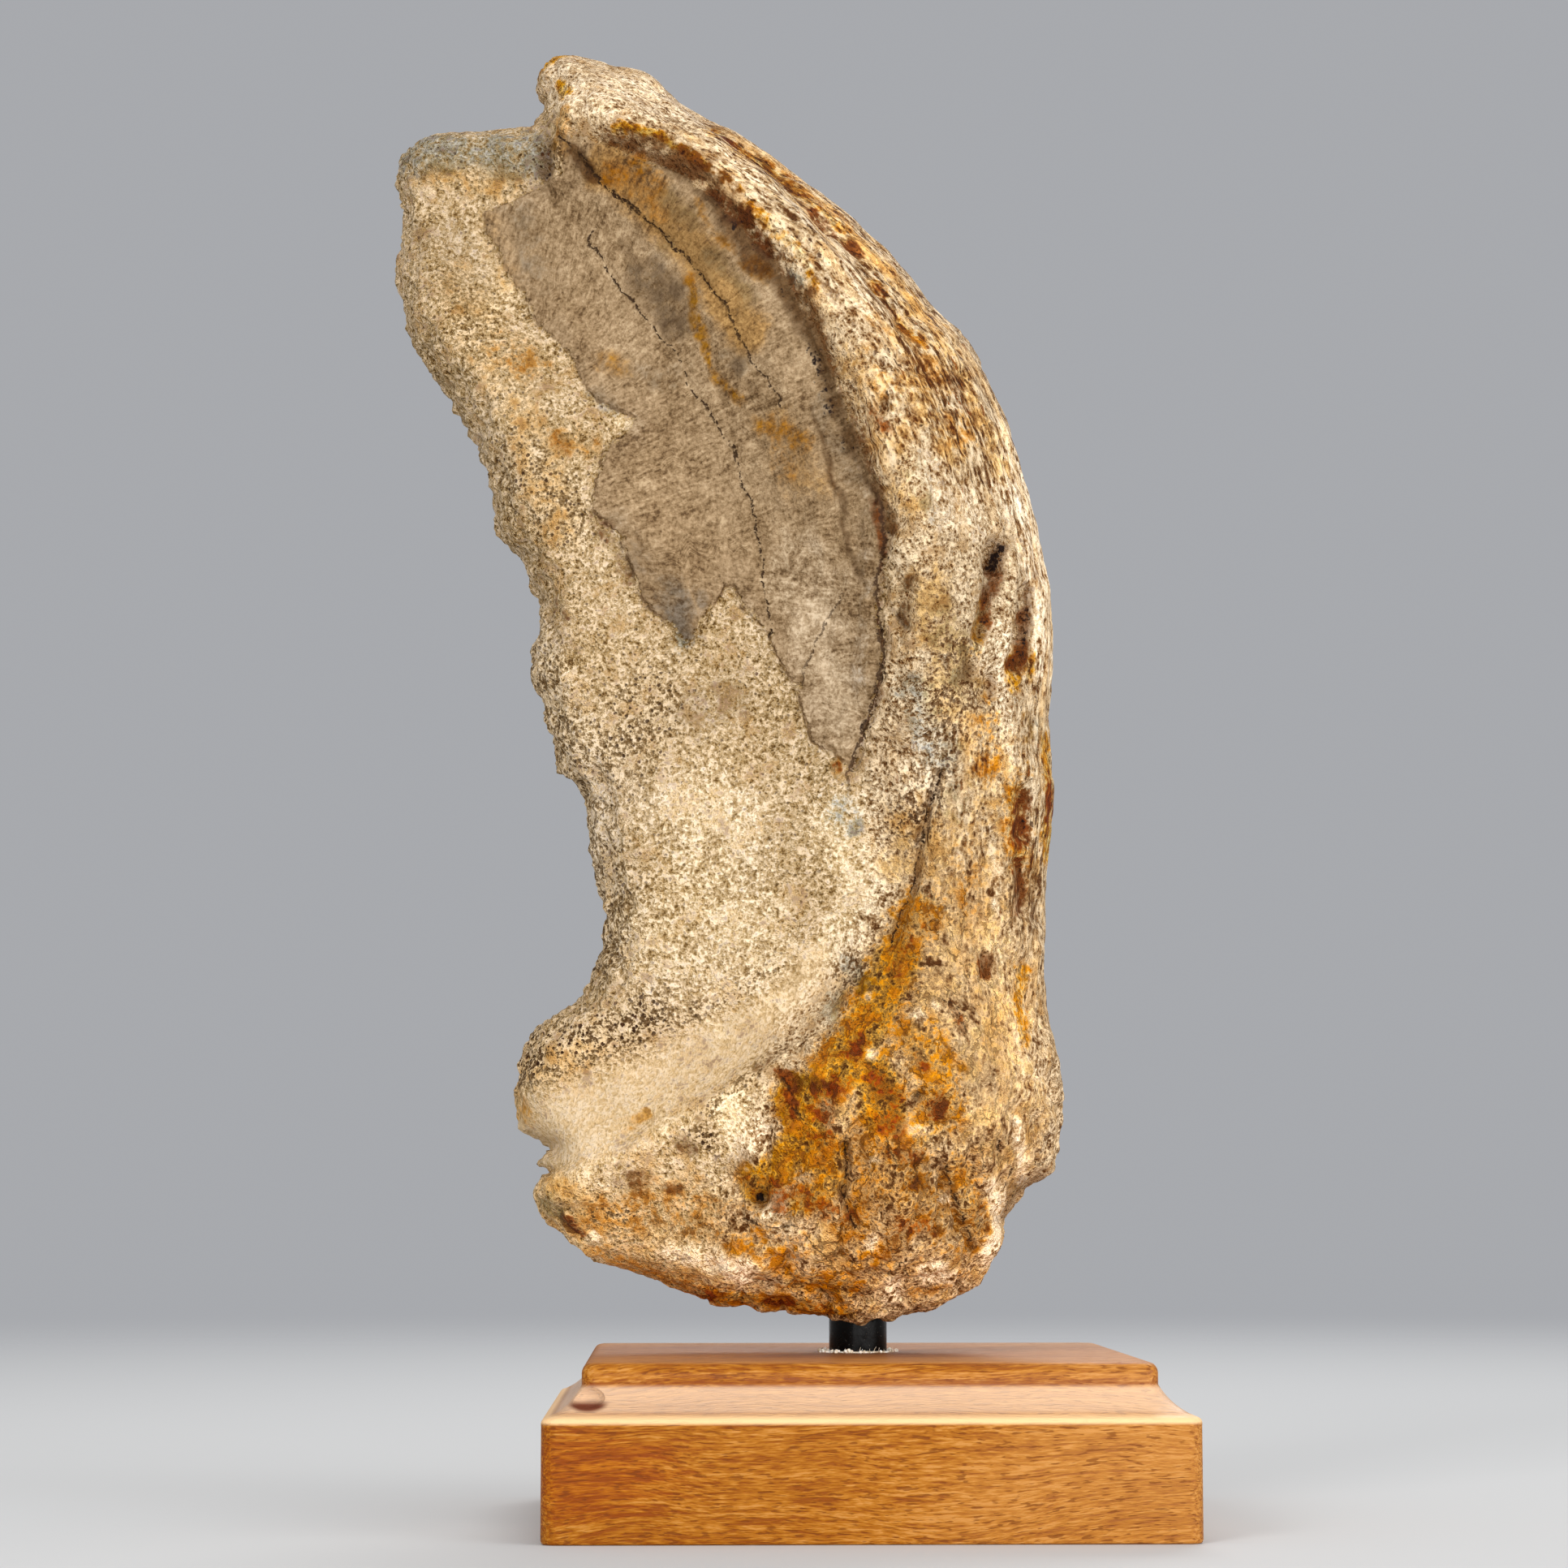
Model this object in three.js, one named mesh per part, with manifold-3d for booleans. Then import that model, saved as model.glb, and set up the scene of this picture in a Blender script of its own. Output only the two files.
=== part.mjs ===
// A piece of fossil mammoth neck vertebra, standing on a short black post in a moulded wooden plinth.
//
// Millimetres, +Z up. The viewer stands on the -Y side, and the origin is the middle of the plinth's
// underside. The three pieces are the bone, which grew as one, the post and the plinth. The post is
// glued into a blind hole in each of the other two, and a fine gap stands for the glue.

import * as THREE from 'three';
import { mergeVertices } from 'three/addons/utils/BufferGeometryUtils.js';
import Module from 'manifold-3d';

// ---------------------------------------------------------------------------------------------
// Driving dimensions
// ---------------------------------------------------------------------------------------------

const POST_DIAMETER = 10;
const GLUE_GAP = 0.3;
const ROUND_SIDES = 32;

const PLINTH_WIDTH = 106;
const PLINTH_HEIGHT = 28.5;
const PLINTH_CORNER = 2.5;
const CORNER_STEPS = 5;
const PLINTH_HOLE_DEPTH = 19;

const BONE_FOOT_Z = 33;
const BONE_HOLE_TOP_Z = 63;

// The plinth's moulding, from the underside up to the top face: how far each point is set in from
// the plinth's side, and its height. A small eased edge below, the upright face, its rounded arris,
// a shallow cove, a short fillet and a rounded top edge.
const EASED_EDGE = 0.6;
const FACE_TOP_Z = 18.6;
const ARRIS_RADIUS = 1.6;
const COVE_FOOT = [1.1, 20.1];
const COVE_TOP = [6.3, 24.9];
const COVE_SAG = 0.6;
const TOP_EDGE_RADIUS = 1.7;

// The bone's outline seen from the front, as [x, z]. Both edges run from the bone's lowest point to
// the tip of its upper lobe. The left edge is the old break; the right one is the bone's own side.
const LEFT_EDGE = [
  [0, 33], [-4.5, 34.6], [-16, 36], [-25, 37], [-35, 41], [-44, 43.8],          // underside
  [-48.5, 46.8], [-55.5, 52.6], [-56.3, 57], [-53.2, 60.5], [-54.2, 64.5],      // lower lobe, notch
  [-58.7, 68], [-60, 71.5], [-59.5, 75.5], [-56.5, 84], [-49.5, 88.6],          // upper foot lobe
  [-45.6, 94.5], [-44.2, 105], [-46.8, 115], [-47.5, 125], [-53, 131.5],        // waist
  [-54, 139], [-57.6, 148.5], [-55.5, 156], [-58.2, 166], [-62.5, 172],         // worn break
  [-66.2, 185], [-71.3, 194.5], [-77.5, 203], [-81.5, 217], [-80.2, 227.5],
  [-81.6, 235], [-80, 240.5], [-75, 243.5], [-61, 244], [-56.5, 245.6],         // left top lobe
  [-55, 248.8], [-57, 253.5], [-55.5, 258.3], [-51.5, 259.4],                   // right top lobe
];
const RIGHT_EDGE = [
  [0, 33], [5, 34.6], [10.5, 35.4], [17, 37.7], [20.8, 40], [24.7, 47],         // underside
  [26.2, 52.5], [31.5, 57.3], [34.8, 62.5], [35.9, 72], [35.2, 80],             // foot of the side
  [33.4, 87], [32.7, 100], [33.8, 114], [34.7, 124], [33.5, 136],
  [34.8, 148], [34.2, 160], [31.5, 175], [27.5, 190], [22, 204],                // bend of the rim
  [13.5, 214.5], [3.5, 224.8], [-11, 237], [-28.5, 248.2], [-37, 254.8],
  [-44, 257.2], [-51.5, 259.4],
];

// The bone's broad build at each height. Left and right are where its break and its thick side run
// once their small bumps are ironed out, and middle is the y of its middle surface. The depths are
// measured from that surface, in front of it and behind it, first at the break and then towards the
// thick side.
const STATIONS = [
  { z: 20, left: -42, right: 24, middle: -1, frontLeft: 12, frontRight: 22, backLeft: 10, backRight: 18 },
  { z: 48, left: -54, right: 28, middle: 0, frontLeft: 16, frontRight: 28, backLeft: 14, backRight: 25 },
  { z: 72, left: -57, right: 36, middle: 1, frontLeft: 18, frontRight: 29, backLeft: 16, backRight: 27 },
  { z: 100, left: -50, right: 34, middle: -1, frontLeft: 16, frontRight: 25, backLeft: 16, backRight: 28 },
  { z: 130, left: -51, right: 34, middle: -4, frontLeft: 15, frontRight: 25, backLeft: 18, backRight: 31 },
  { z: 165, left: -59, right: 34, middle: -5, frontLeft: 16, frontRight: 27, backLeft: 20, backRight: 33 },
  { z: 200, left: -76, right: 24, middle: -3, frontLeft: 17, frontRight: 27, backLeft: 20, backRight: 29 },
  { z: 235, left: -85, right: -6, middle: 0, frontLeft: 15, frontRight: 22, backLeft: 17, backRight: 21 },
  { z: 270, left: -92, right: -46, middle: 2, frontLeft: 12, frontRight: 14, backLeft: 11, backRight: 12 },
];
const LEFT_ROUNDING = 7;
const RIGHT_ROUNDING = 29;

// Ridges (rise above 0) and hollows (below 0) on each face, as [x, z] paths with a reach to the side.
const FRONT_RELIEF = [
  { rise: 5.5, reach: 8, path: [[-52, 246], [-33, 239], [-9, 219], [5, 195], [11, 170], [10, 140]] },
  { rise: -8, reach: 18, path: [[-62, 224], [-42, 205], [-26, 180], [-17, 158], [-12, 140]] },
  { rise: -4, reach: 7, path: [[-62, 71], [-42, 76.5], [-19, 85], [-4, 97], [4, 112]] },
  { rise: 3.5, reach: 8, path: [[-52, 56], [-30, 66], [-8, 76]] },
  { rise: 3, reach: 16, path: [[-34, 103], [-26, 125]] },
  { rise: 5, reach: 20, path: [[0, 58], [12, 76]] },
];
const BACK_RELIEF = [
  { rise: -5, reach: 20, path: [[-58, 214], [-40, 188], [-32, 162]] },
  { rise: 4, reach: 10, path: [[-40, 238], [-12, 214], [2, 186], [4, 156], [-8, 132]] },
  { rise: -3, reach: 14, path: [[-42, 110], [-8, 118], [30, 104]] },
  { rise: 5, reach: 16, path: [[-30, 76], [2, 64]] },
];

// The bone's mesh: heights come in bands of [top, number of rows], and each row crosses the bone in
// columns that crowd a little towards its two edges.
const ROW_BANDS = [[48, 8], [236, 46], [243.4, 4], [244.8, 2], [259.4, 7]];
const COLUMNS = 27;
const EDGE_CROWDING = 0.6;

// ---------------------------------------------------------------------------------------------
// Small helpers
// ---------------------------------------------------------------------------------------------

const wasm = await Module();
wasm.setup();

const lerp = THREE.MathUtils.lerp;
const smoothstep = THREE.MathUtils.smoothstep;

/** Points along a smooth curve through the given [x, z] pairs. */
function smoothPath(pairs, stepsEach = 6) {
  const curve = new THREE.SplineCurve(pairs.map(([x, z]) => new THREE.Vector2(x, z)));
  return curve.getPoints((pairs.length - 1) * stepsEach);
}

/** The x of an edge at a height, where the edge climbs from point to point. */
function edgeAt(points, z) {
  const above = points.findIndex((point) => point.y > z);
  if (above === 0) return points[0].x;
  if (above < 0) return points[points.length - 1].x;
  const low = points[above - 1];
  const high = points[above];
  return lerp(low.x, high.x, (z - low.y) / (high.y - low.y));
}

/** The shortest distance from (x, z) to a run of points. */
function distanceToPath(points, x, z) {
  let nearest = Infinity;
  for (let i = 1; i < points.length; i += 1) {
    const from = points[i - 1];
    const run = { x: points[i].x - from.x, z: points[i].y - from.y };
    const length2 = run.x ** 2 + run.z ** 2;
    const along = length2 && ((x - from.x) * run.x + (z - from.y) * run.z) / length2;
    const held = THREE.MathUtils.clamp(along, 0, 1);
    nearest = Math.min(nearest, Math.hypot(x - from.x - held * run.x, z - from.y - held * run.z));
  }
  return nearest;
}

/** Makes a solid for joining and cutting from a closed geometry. */
function toSolid(geometry) {
  const bare = geometry.clone();
  bare.deleteAttribute('normal');
  bare.deleteAttribute('uv');
  const merged = mergeVertices(bare);
  const vertProperties = new Float32Array(merged.getAttribute('position').array);
  const triVerts = new Uint32Array(merged.index.array);
  return new wasm.Manifold(new wasm.Mesh({ numProp: 3, vertProperties, triVerts }));
}

/** Turns a solid back into a geometry. */
function toGeometry(solid) {
  const { vertProperties, triVerts } = solid.getMesh();
  const geometry = new THREE.BufferGeometry();
  geometry.setAttribute('position', new THREE.BufferAttribute(vertProperties, 3));
  geometry.setIndex(new THREE.BufferAttribute(triVerts, 1));
  geometry.computeVertexNormals();
  return geometry;
}

/** An upright round bar on the post's axis, for the post's holes. */
function uprightBar(diameter, bottom, top) {
  const bar = new THREE.CylinderGeometry(diameter / 2, diameter / 2, top - bottom, ROUND_SIDES);
  bar.rotateX(Math.PI / 2);
  bar.translate(0, 0, (bottom + top) / 2);
  return bar;
}

/** A closed skin over a stack of closed rings, each a list of [x, y, z] with as many points. */
function skinRings(rings, bottomPoint, topPoint) {
  const around = rings[0].length;
  const vertices = [...rings.flat(), bottomPoint, topPoint];
  const bottom = vertices.length - 2;
  const top = vertices.length - 1;
  const lastRing = (rings.length - 1) * around;
  const faces = [];
  for (let i = 0; i < around; i += 1) {
    const next = (i + 1) % around;
    faces.push(bottom, next, i);
    faces.push(top, lastRing + i, lastRing + next);
    for (let ring = 0; ring < lastRing; ring += around) {
      faces.push(ring + i, ring + next, ring + around + next);
      faces.push(ring + i, ring + around + next, ring + around + i);
    }
  }
  const geometry = new THREE.BufferGeometry();
  geometry.setAttribute('position', new THREE.Float32BufferAttribute(vertices.flat(), 3));
  geometry.setIndex(faces);
  return geometry;
}

// ---------------------------------------------------------------------------------------------
// The bone
// ---------------------------------------------------------------------------------------------

const leftEdge = smoothPath(LEFT_EDGE);
const rightEdge = smoothPath(RIGHT_EDGE);
const frontRelief = FRONT_RELIEF.map((feature) => ({ ...feature, points: smoothPath(feature.path) }));
const backRelief = BACK_RELIEF.map((feature) => ({ ...feature, points: smoothPath(feature.path) }));

/** One of the stations' values at any height, on a smooth curve through them all. */
const stationCurves = {};
for (const name of Object.keys(STATIONS[0])) {
  stationCurves[name] = smoothPath(STATIONS.map((station) => [station[name], station.z]));
}
const stationAt = (name, z) => edgeAt(stationCurves[name], z);

/** All ridges and hollows together at one place on a face. */
function reliefAt(features, x, z) {
  let sum = 0;
  for (const { rise, reach, points } of features) {
    sum += rise * Math.exp(-((distanceToPath(points, x, z) / reach) ** 2));
  }
  return sum;
}

/** How full the bone is near its outline: 0 on it, 1 where the rounding has run out. */
function fullness(x, z, side) {
  const inside = Math.min(distanceToPath(leftEdge, x, z), distanceToPath(rightEdge, x, z));
  const rounding = lerp(LEFT_ROUNDING, RIGHT_ROUNDING, smoothstep(side, 0.25, 0.85));
  const rest = 1 - Math.min(inside / rounding, 1);
  return Math.sqrt(1 - rest ** 2);
}

/** The y of the bone's middle: the lowest lump hangs just in front of the post. */
function middleAt(z) {
  const lumpForward = 7;
  const lumpHeight = 6;
  return stationAt('middle', z) - lumpForward * (1 - smoothstep(z, BONE_FOOT_Z, BONE_FOOT_Z + lumpHeight));
}

/** One row round the bone: along its front from left to right, then back behind. */
function boneRow(z) {
  const left = edgeAt(leftEdge, z);
  const right = edgeAt(rightEdge, z);
  const front = [];
  const back = [];
  for (let i = 0; i <= COLUMNS; i += 1) {
    const even = i / COLUMNS;
    const across = lerp(even, (1 - Math.cos(Math.PI * even)) / 2, EDGE_CROWDING);
    const x = lerp(left, right, across);
    const side = (x - stationAt('left', z)) / (stationAt('right', z) - stationAt('left', z));
    const full = fullness(x, z, side);
    const thick = smoothstep(side, 0.1, 0.8);
    const ahead = lerp(stationAt('frontLeft', z), stationAt('frontRight', z), thick);
    const behind = lerp(stationAt('backLeft', z), stationAt('backRight', z), thick);
    front.push([x, middleAt(z) - full * (ahead + reliefAt(frontRelief, x, z)), z]);
    back.push([x, middleAt(z) + full * (behind + reliefAt(backRelief, x, z)), z]);
  }
  return [...front, ...back.slice(1, -1).reverse()];
}

function makeBone() {
  const foot = [LEFT_EDGE[0][0], middleAt(BONE_FOOT_Z), BONE_FOOT_Z];
  const [tipX, tipZ] = LEFT_EDGE[LEFT_EDGE.length - 1];
  const rings = [];
  let from = BONE_FOOT_Z;
  for (const [top, rows] of ROW_BANDS) {
    for (let i = 1; i <= rows; i += 1) {
      const z = lerp(from, top, i / rows);
      if (z < tipZ) rings.push(boneRow(z));
    }
    from = top;
  }
  const whole = toSolid(skinRings(rings, foot, [tipX, middleAt(tipZ), tipZ]));
  const hole = uprightBar(POST_DIAMETER + 2 * GLUE_GAP, BONE_FOOT_Z - 5, BONE_HOLE_TOP_Z);
  return toGeometry(whole.subtract(toSolid(hole)));
}

// ---------------------------------------------------------------------------------------------
// The post
// ---------------------------------------------------------------------------------------------

function makePost() {
  const chamfer = 0.5;
  const radius = POST_DIAMETER / 2;
  const bottom = PLINTH_HEIGHT - PLINTH_HOLE_DEPTH + GLUE_GAP;
  const top = BONE_HOLE_TOP_Z - GLUE_GAP;
  const profile = [
    new THREE.Vector2(0, bottom),
    new THREE.Vector2(radius - chamfer, bottom),
    new THREE.Vector2(radius, bottom + chamfer),
    new THREE.Vector2(radius, top - chamfer),
    new THREE.Vector2(radius - chamfer, top),
    new THREE.Vector2(0, top),
  ];
  const post = new THREE.LatheGeometry(profile, ROUND_SIDES);
  post.rotateX(Math.PI / 2);
  return post;
}

// ---------------------------------------------------------------------------------------------
// The plinth
// ---------------------------------------------------------------------------------------------

/** Points [inset, z] along an arc that leaves its chord by sag, without the chord's first point. */
function arcPoints([inset0, z0], [inset1, z1], sag, steps) {
  const run = [inset1 - inset0, z1 - z0];
  const chord = Math.hypot(...run);
  const radius = (chord ** 2 / 4 + sag ** 2) / (2 * Math.abs(sag));
  const halfAngle = Math.asin(chord / (2 * radius));
  const points = [];
  for (let i = 1; i <= steps; i += 1) {
    const angle = lerp(-halfAngle, halfAngle, i / steps);
    const along = 0.5 + (radius * Math.sin(angle)) / chord;
    const off = (Math.sign(sag) * radius * (Math.cos(angle) - Math.cos(halfAngle))) / chord;
    points.push([inset0 + along * run[0] + off * run[1], z0 + along * run[1] - off * run[0]]);
  }
  return points;
}

/** The moulding's profile, from the underside to the top face. */
function mouldingProfile() {
  const quarterSag = 1 - Math.SQRT1_2;
  const arris = [0, FACE_TOP_Z];
  const filletTop = [COVE_TOP[0], PLINTH_HEIGHT - TOP_EDGE_RADIUS];
  const topFace = [COVE_TOP[0] + TOP_EDGE_RADIUS, PLINTH_HEIGHT];
  return [
    [EASED_EDGE, 0],
    [0, EASED_EDGE],
    arris,
    ...arcPoints(arris, COVE_FOOT, -ARRIS_RADIUS * quarterSag, 3),
    ...arcPoints(COVE_FOOT, COVE_TOP, COVE_SAG, 5),
    filletTop,
    ...arcPoints(filletTop, topFace, -TOP_EDGE_RADIUS * quarterSag, 4),
  ];
}

/** A square ring with rounded corners, set in from the plinth's side at one height. */
function plinthRing([inset, z]) {
  const straight = PLINTH_WIDTH / 2 - inset - PLINTH_CORNER;
  const ring = [];
  for (let corner = 0; corner < 4; corner += 1) {
    for (let i = 0; i <= CORNER_STEPS; i += 1) {
      const angle = (corner + i / CORNER_STEPS) * (Math.PI / 2);
      const centre = (corner + 0.5) * (Math.PI / 2);
      const x = straight * Math.SQRT2 * Math.cos(centre) + PLINTH_CORNER * Math.cos(angle);
      const y = straight * Math.SQRT2 * Math.sin(centre) + PLINTH_CORNER * Math.sin(angle);
      ring.push([x, y, z]);
    }
  }
  return ring;
}

function makePlinth() {
  const rings = mouldingProfile().map(plinthRing);
  const whole = toSolid(skinRings(rings, [0, 0, 0], [0, 0, PLINTH_HEIGHT]));
  const floor = PLINTH_HEIGHT - PLINTH_HOLE_DEPTH;
  const hole = uprightBar(POST_DIAMETER + 2 * GLUE_GAP, floor, PLINTH_HEIGHT + 5);
  return toGeometry(whole.subtract(toSolid(hole)));
}

// ---------------------------------------------------------------------------------------------
// The object
// ---------------------------------------------------------------------------------------------

function namedMesh(name, geometry, color, roughness, metalness) {
  const material = new THREE.MeshStandardMaterial({ color, roughness, metalness });
  const mesh = new THREE.Mesh(geometry, material);
  mesh.name = name;
  return mesh;
}

const fossil = new THREE.Group();
fossil.add(
  namedMesh('bone', makeBone(), 0xb99c74, 0.85, 0),
  namedMesh('post', makePost(), 0x161617, 0.4, 0),
  namedMesh('plinth', makePlinth(), 0xa9642f, 0.4, 0),
);

export default fossil;
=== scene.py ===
# %% [markdown]
# # A fossil mammoth neck bone on a wooden stand
#
# Half of a mammoth's first neck vertebra stands on a black post in a moulded wooden plinth. The
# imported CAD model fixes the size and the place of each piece. This lesson makes the looks around it:
# a sculpted bone with its worn facet, cracks, vein holes and stains, a varnished plinth, a satin
# post and the crumbs of dried glue around it. The bone's back is made with the same care: it has a
# second, flatter facet, and cracks and stains of its own.
#
# Lengths are in metres and +Z is up. Tables of places are easier to read in millimetres, so they are
# written that way and multiplied by `MM` where they are used.

# %% Load the frame
import math

import bpy
import numpy as np
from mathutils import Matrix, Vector


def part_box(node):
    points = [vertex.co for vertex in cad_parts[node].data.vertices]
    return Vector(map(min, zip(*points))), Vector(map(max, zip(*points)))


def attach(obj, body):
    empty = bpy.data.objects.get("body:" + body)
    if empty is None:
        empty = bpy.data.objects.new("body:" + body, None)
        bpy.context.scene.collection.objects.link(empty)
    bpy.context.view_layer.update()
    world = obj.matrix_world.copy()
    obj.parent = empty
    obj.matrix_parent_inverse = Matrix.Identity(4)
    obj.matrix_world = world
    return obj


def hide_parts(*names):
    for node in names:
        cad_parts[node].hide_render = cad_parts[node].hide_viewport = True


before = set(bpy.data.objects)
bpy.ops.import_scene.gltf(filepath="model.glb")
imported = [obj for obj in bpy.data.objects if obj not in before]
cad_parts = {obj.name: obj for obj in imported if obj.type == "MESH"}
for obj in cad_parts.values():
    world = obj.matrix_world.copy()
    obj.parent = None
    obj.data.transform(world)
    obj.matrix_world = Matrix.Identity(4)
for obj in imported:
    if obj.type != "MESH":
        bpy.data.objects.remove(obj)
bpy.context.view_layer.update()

MM = 0.001
bone_low, bone_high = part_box("bone")
post_low, post_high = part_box("post")
plinth_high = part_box("plinth")[1]
print("bone from", tuple(bone_low), "to", tuple(bone_high))

# %% [markdown]
# ## Camera, floor and light
#
# The stand is seen from just above the plinth, slightly from below the middle of the bone, with a
# short telephoto lens. The light is plain and soft: a broad key from the upper left, a fill from the
# right and a pale room all around. The standard view keeps the bone's own colours, where a filmic
# one would grey them.

# %% Camera
LENS = 89.41
SENSOR_WIDTH = 36
CAMERA_PLACE = (-0.031, -0.681, 0.0536)
CAMERA_TILT = math.radians(96.187)
CAMERA_TURN = math.radians(-1.53)

camera_data = bpy.data.cameras.new("camera")
camera_data.lens = LENS
camera_data.sensor_width = SENSOR_WIDTH
camera = bpy.data.objects.new("camera", camera_data)
camera.location = CAMERA_PLACE
camera.rotation_euler = (CAMERA_TILT, 0, CAMERA_TURN)
scene = bpy.context.scene
scene.collection.objects.link(camera)
scene.camera = camera
scene.view_settings.view_transform = "Standard"
print("camera at", tuple(camera.location))


# %% Floor and light
def select_only(piece):
    bpy.ops.object.select_all(action="DESELECT")
    piece.select_set(True)
    bpy.context.view_layer.objects.active = piece


def new_piece(name, add, **settings):
    """Add a primitive with nothing else selected, and name it."""
    bpy.ops.object.select_all(action="DESELECT")
    add(**settings)
    piece = bpy.context.object
    piece.name = name
    return piece


def add_light(name, place, target, width, height, watts):
    lamp = new_piece(name, bpy.ops.object.light_add, type="AREA", location=place)
    lamp.data.shape = "RECTANGLE"
    lamp.data.size = width
    lamp.data.size_y = height
    lamp.data.energy = watts
    aim = Vector(target) - Vector(place)
    lamp.rotation_euler = aim.to_track_quat("-Z", "Y").to_euler()
    print(name, watts, "W")


MIDDLE = (0.0, 0.0, 0.14)
add_light("key_light", (-0.8, -1.25, 0.85), MIDDLE, 0.5, 0.5, 9)
add_light("fill_light", (1.2, -0.9, 0.35), MIDDLE, 0.9, 0.7, 10)
add_light("low_light", (0.2, -1.3, 0.16), (0.0, 0.0, 0.03), 1.6, 0.3, 11)
add_light("top_light", (0.0, -0.12, 1.25), MIDDLE, 1.1, 0.7, 4.5)
add_light("back_light", (0.3, 1.2, 1.0), MIDDLE, 0.8, 0.6, 9)

ROOM_COLOUR = (0.93, 0.95, 1.0, 1)
ROOM_STRENGTH = 0.42
world = bpy.data.worlds.new("pale_room")
world.use_nodes = True
room = world.node_tree.nodes["Background"].inputs
room["Color"].default_value = ROOM_COLOUR
room["Strength"].default_value = ROOM_STRENGTH
scene.world = world

FLOOR_RADIUS = 2.8
add_circle = bpy.ops.mesh.primitive_circle_add
floor = new_piece("floor", add_circle, vertices=96, radius=FLOOR_RADIUS, fill_type="NGON")


# %% [markdown]
# ## Small tools for the nodes
#
# A finish is built from the same few nodes again and again, so each has a short helper. A number that
# is the same all over the surface goes straight on the shader's own socket.

# %% Node helpers
# The Mix node has sockets for each kind of data, and these are its places for colours.
MIX_AMOUNT = 0
MIX_UNDER = 6
MIX_OVER = 7
MIX_RESULT = 2
# How widely one layer of the Noise node spreads around 0.5.
ONE_LAYER_SPREAD = 0.125


def linear(red, green, blue):
    """A colour given as 0 to 255 in sRGB, as the shader wants it."""
    parts = []
    for part in (red, green, blue):
        part = part / 255
        parts.append(part / 12.92 if part <= 0.04045 else ((part + 0.055) / 1.055) ** 2.4)
    return (*parts, 1)


class Finish:
    """A material with helpers that add and link its nodes."""

    def __init__(self, name):
        self.material = bpy.data.materials.new(name)
        self.material.use_nodes = True
        self.nodes = self.material.node_tree.nodes
        self.links = self.material.node_tree.links
        self.shader = self.nodes["Principled BSDF"]

    def put(self, socket, value):
        if isinstance(value, bpy.types.NodeSocket):
            self.links.new(value, socket)
        else:
            socket.default_value = value

    def attribute(self, name):
        """What the mesh's own attribute says at each spot, as a vector."""
        node = self.nodes.new("ShaderNodeAttribute")
        node.attribute_name = name
        return node.outputs["Vector"]

    def split(self, vector):
        node = self.nodes.new("ShaderNodeSeparateXYZ")
        self.put(node.inputs[0], vector)
        return node.outputs

    def place(self):
        return self.nodes.new("ShaderNodeTexCoord").outputs["Object"]

    def stretch(self, vector, scale):
        node = self.nodes.new("ShaderNodeMapping")
        self.put(node.inputs["Vector"], vector)
        node.inputs["Scale"].default_value = scale
        return node.outputs[0]

    def noise(self, vector, scale, detail=2, rough=0.5, distortion=0):
        """Noise around 0 that mostly stays between -1 and 1, and seldom passes 2."""
        node = self.nodes.new("ShaderNodeTexNoise")
        self.put(node.inputs["Vector"], vector)
        node.inputs["Scale"].default_value = scale
        node.inputs["Detail"].default_value = detail
        node.inputs["Roughness"].default_value = rough
        node.inputs["Distortion"].default_value = distortion
        heights = [rough ** layer for layer in range(int(detail) + 1)]
        spread = ONE_LAYER_SPREAD * math.sqrt(sum(height ** 2 for height in heights)) / sum(heights)
        return self.maths("DIVIDE", self.minus(node.outputs["Fac"], 0.5), spread)

    def shift(self, vector, *amounts):
        """Move a place by up to three amounts, along x, y and z."""
        move = self.nodes.new("ShaderNodeCombineXYZ")
        for socket, amount in zip(move.inputs, amounts):
            self.put(socket, amount)
        node = self.nodes.new("ShaderNodeVectorMath")
        self.put(node.inputs[0], vector)
        self.put(node.inputs[1], move.outputs[0])
        return node.outputs[0]

    def cells(self, vector, scale, feature="F1"):
        node = self.nodes.new("ShaderNodeTexVoronoi")
        node.feature = feature
        self.put(node.inputs["Vector"], vector)
        node.inputs["Scale"].default_value = scale
        return node.outputs

    def maths(self, operation, first, second=0.0, clamp=False):
        node = self.nodes.new("ShaderNodeMath")
        node.operation = operation
        node.use_clamp = clamp
        self.put(node.inputs[0], first)
        self.put(node.inputs[1], second)
        return node.outputs[0]

    def times(self, *values):
        total = values[0]
        for value in values[1:]:
            total = self.maths("MULTIPLY", total, value)
        return total

    def plus(self, *values):
        total = values[0]
        for value in values[1:]:
            total = self.maths("ADD", total, value)
        return total

    def minus(self, first, second):
        return self.maths("SUBTRACT", first, second)

    def blend(self, *parts):
        """The sum of patterns, each a pair of the pattern and its share."""
        return self.plus(*[self.times(pattern, share) for pattern, share in parts])

    def size_of(self, value):
        return self.maths("ABSOLUTE", value)

    def flip(self, value):
        return self.minus(1.0, value)

    def step(self, value, low, high):
        """0 at low and 1 at high, smooth between; low may be above high."""
        if low > high:
            return self.flip(self.step(value, high, low))
        node = self.nodes.new("ShaderNodeMapRange")
        node.interpolation_type = "SMOOTHSTEP"
        self.put(node.inputs["Value"], value)
        node.inputs["From Min"].default_value = low
        node.inputs["From Max"].default_value = high
        return node.outputs["Result"]

    def mix(self, amount, under, over, blend="MIX"):
        node = self.nodes.new("ShaderNodeMix")
        node.data_type = "RGBA"
        node.blend_type = blend
        node.clamp_factor = True
        self.put(node.inputs[MIX_AMOUNT], amount)
        self.put(node.inputs[MIX_UNDER], under)
        self.put(node.inputs[MIX_OVER], over)
        return node.outputs[MIX_RESULT]

    def value_mix(self, amount, first, second):
        """first where amount is 0 and second where it is 1."""
        return self.plus(first, self.times(amount, self.minus(second, first)))

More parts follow.
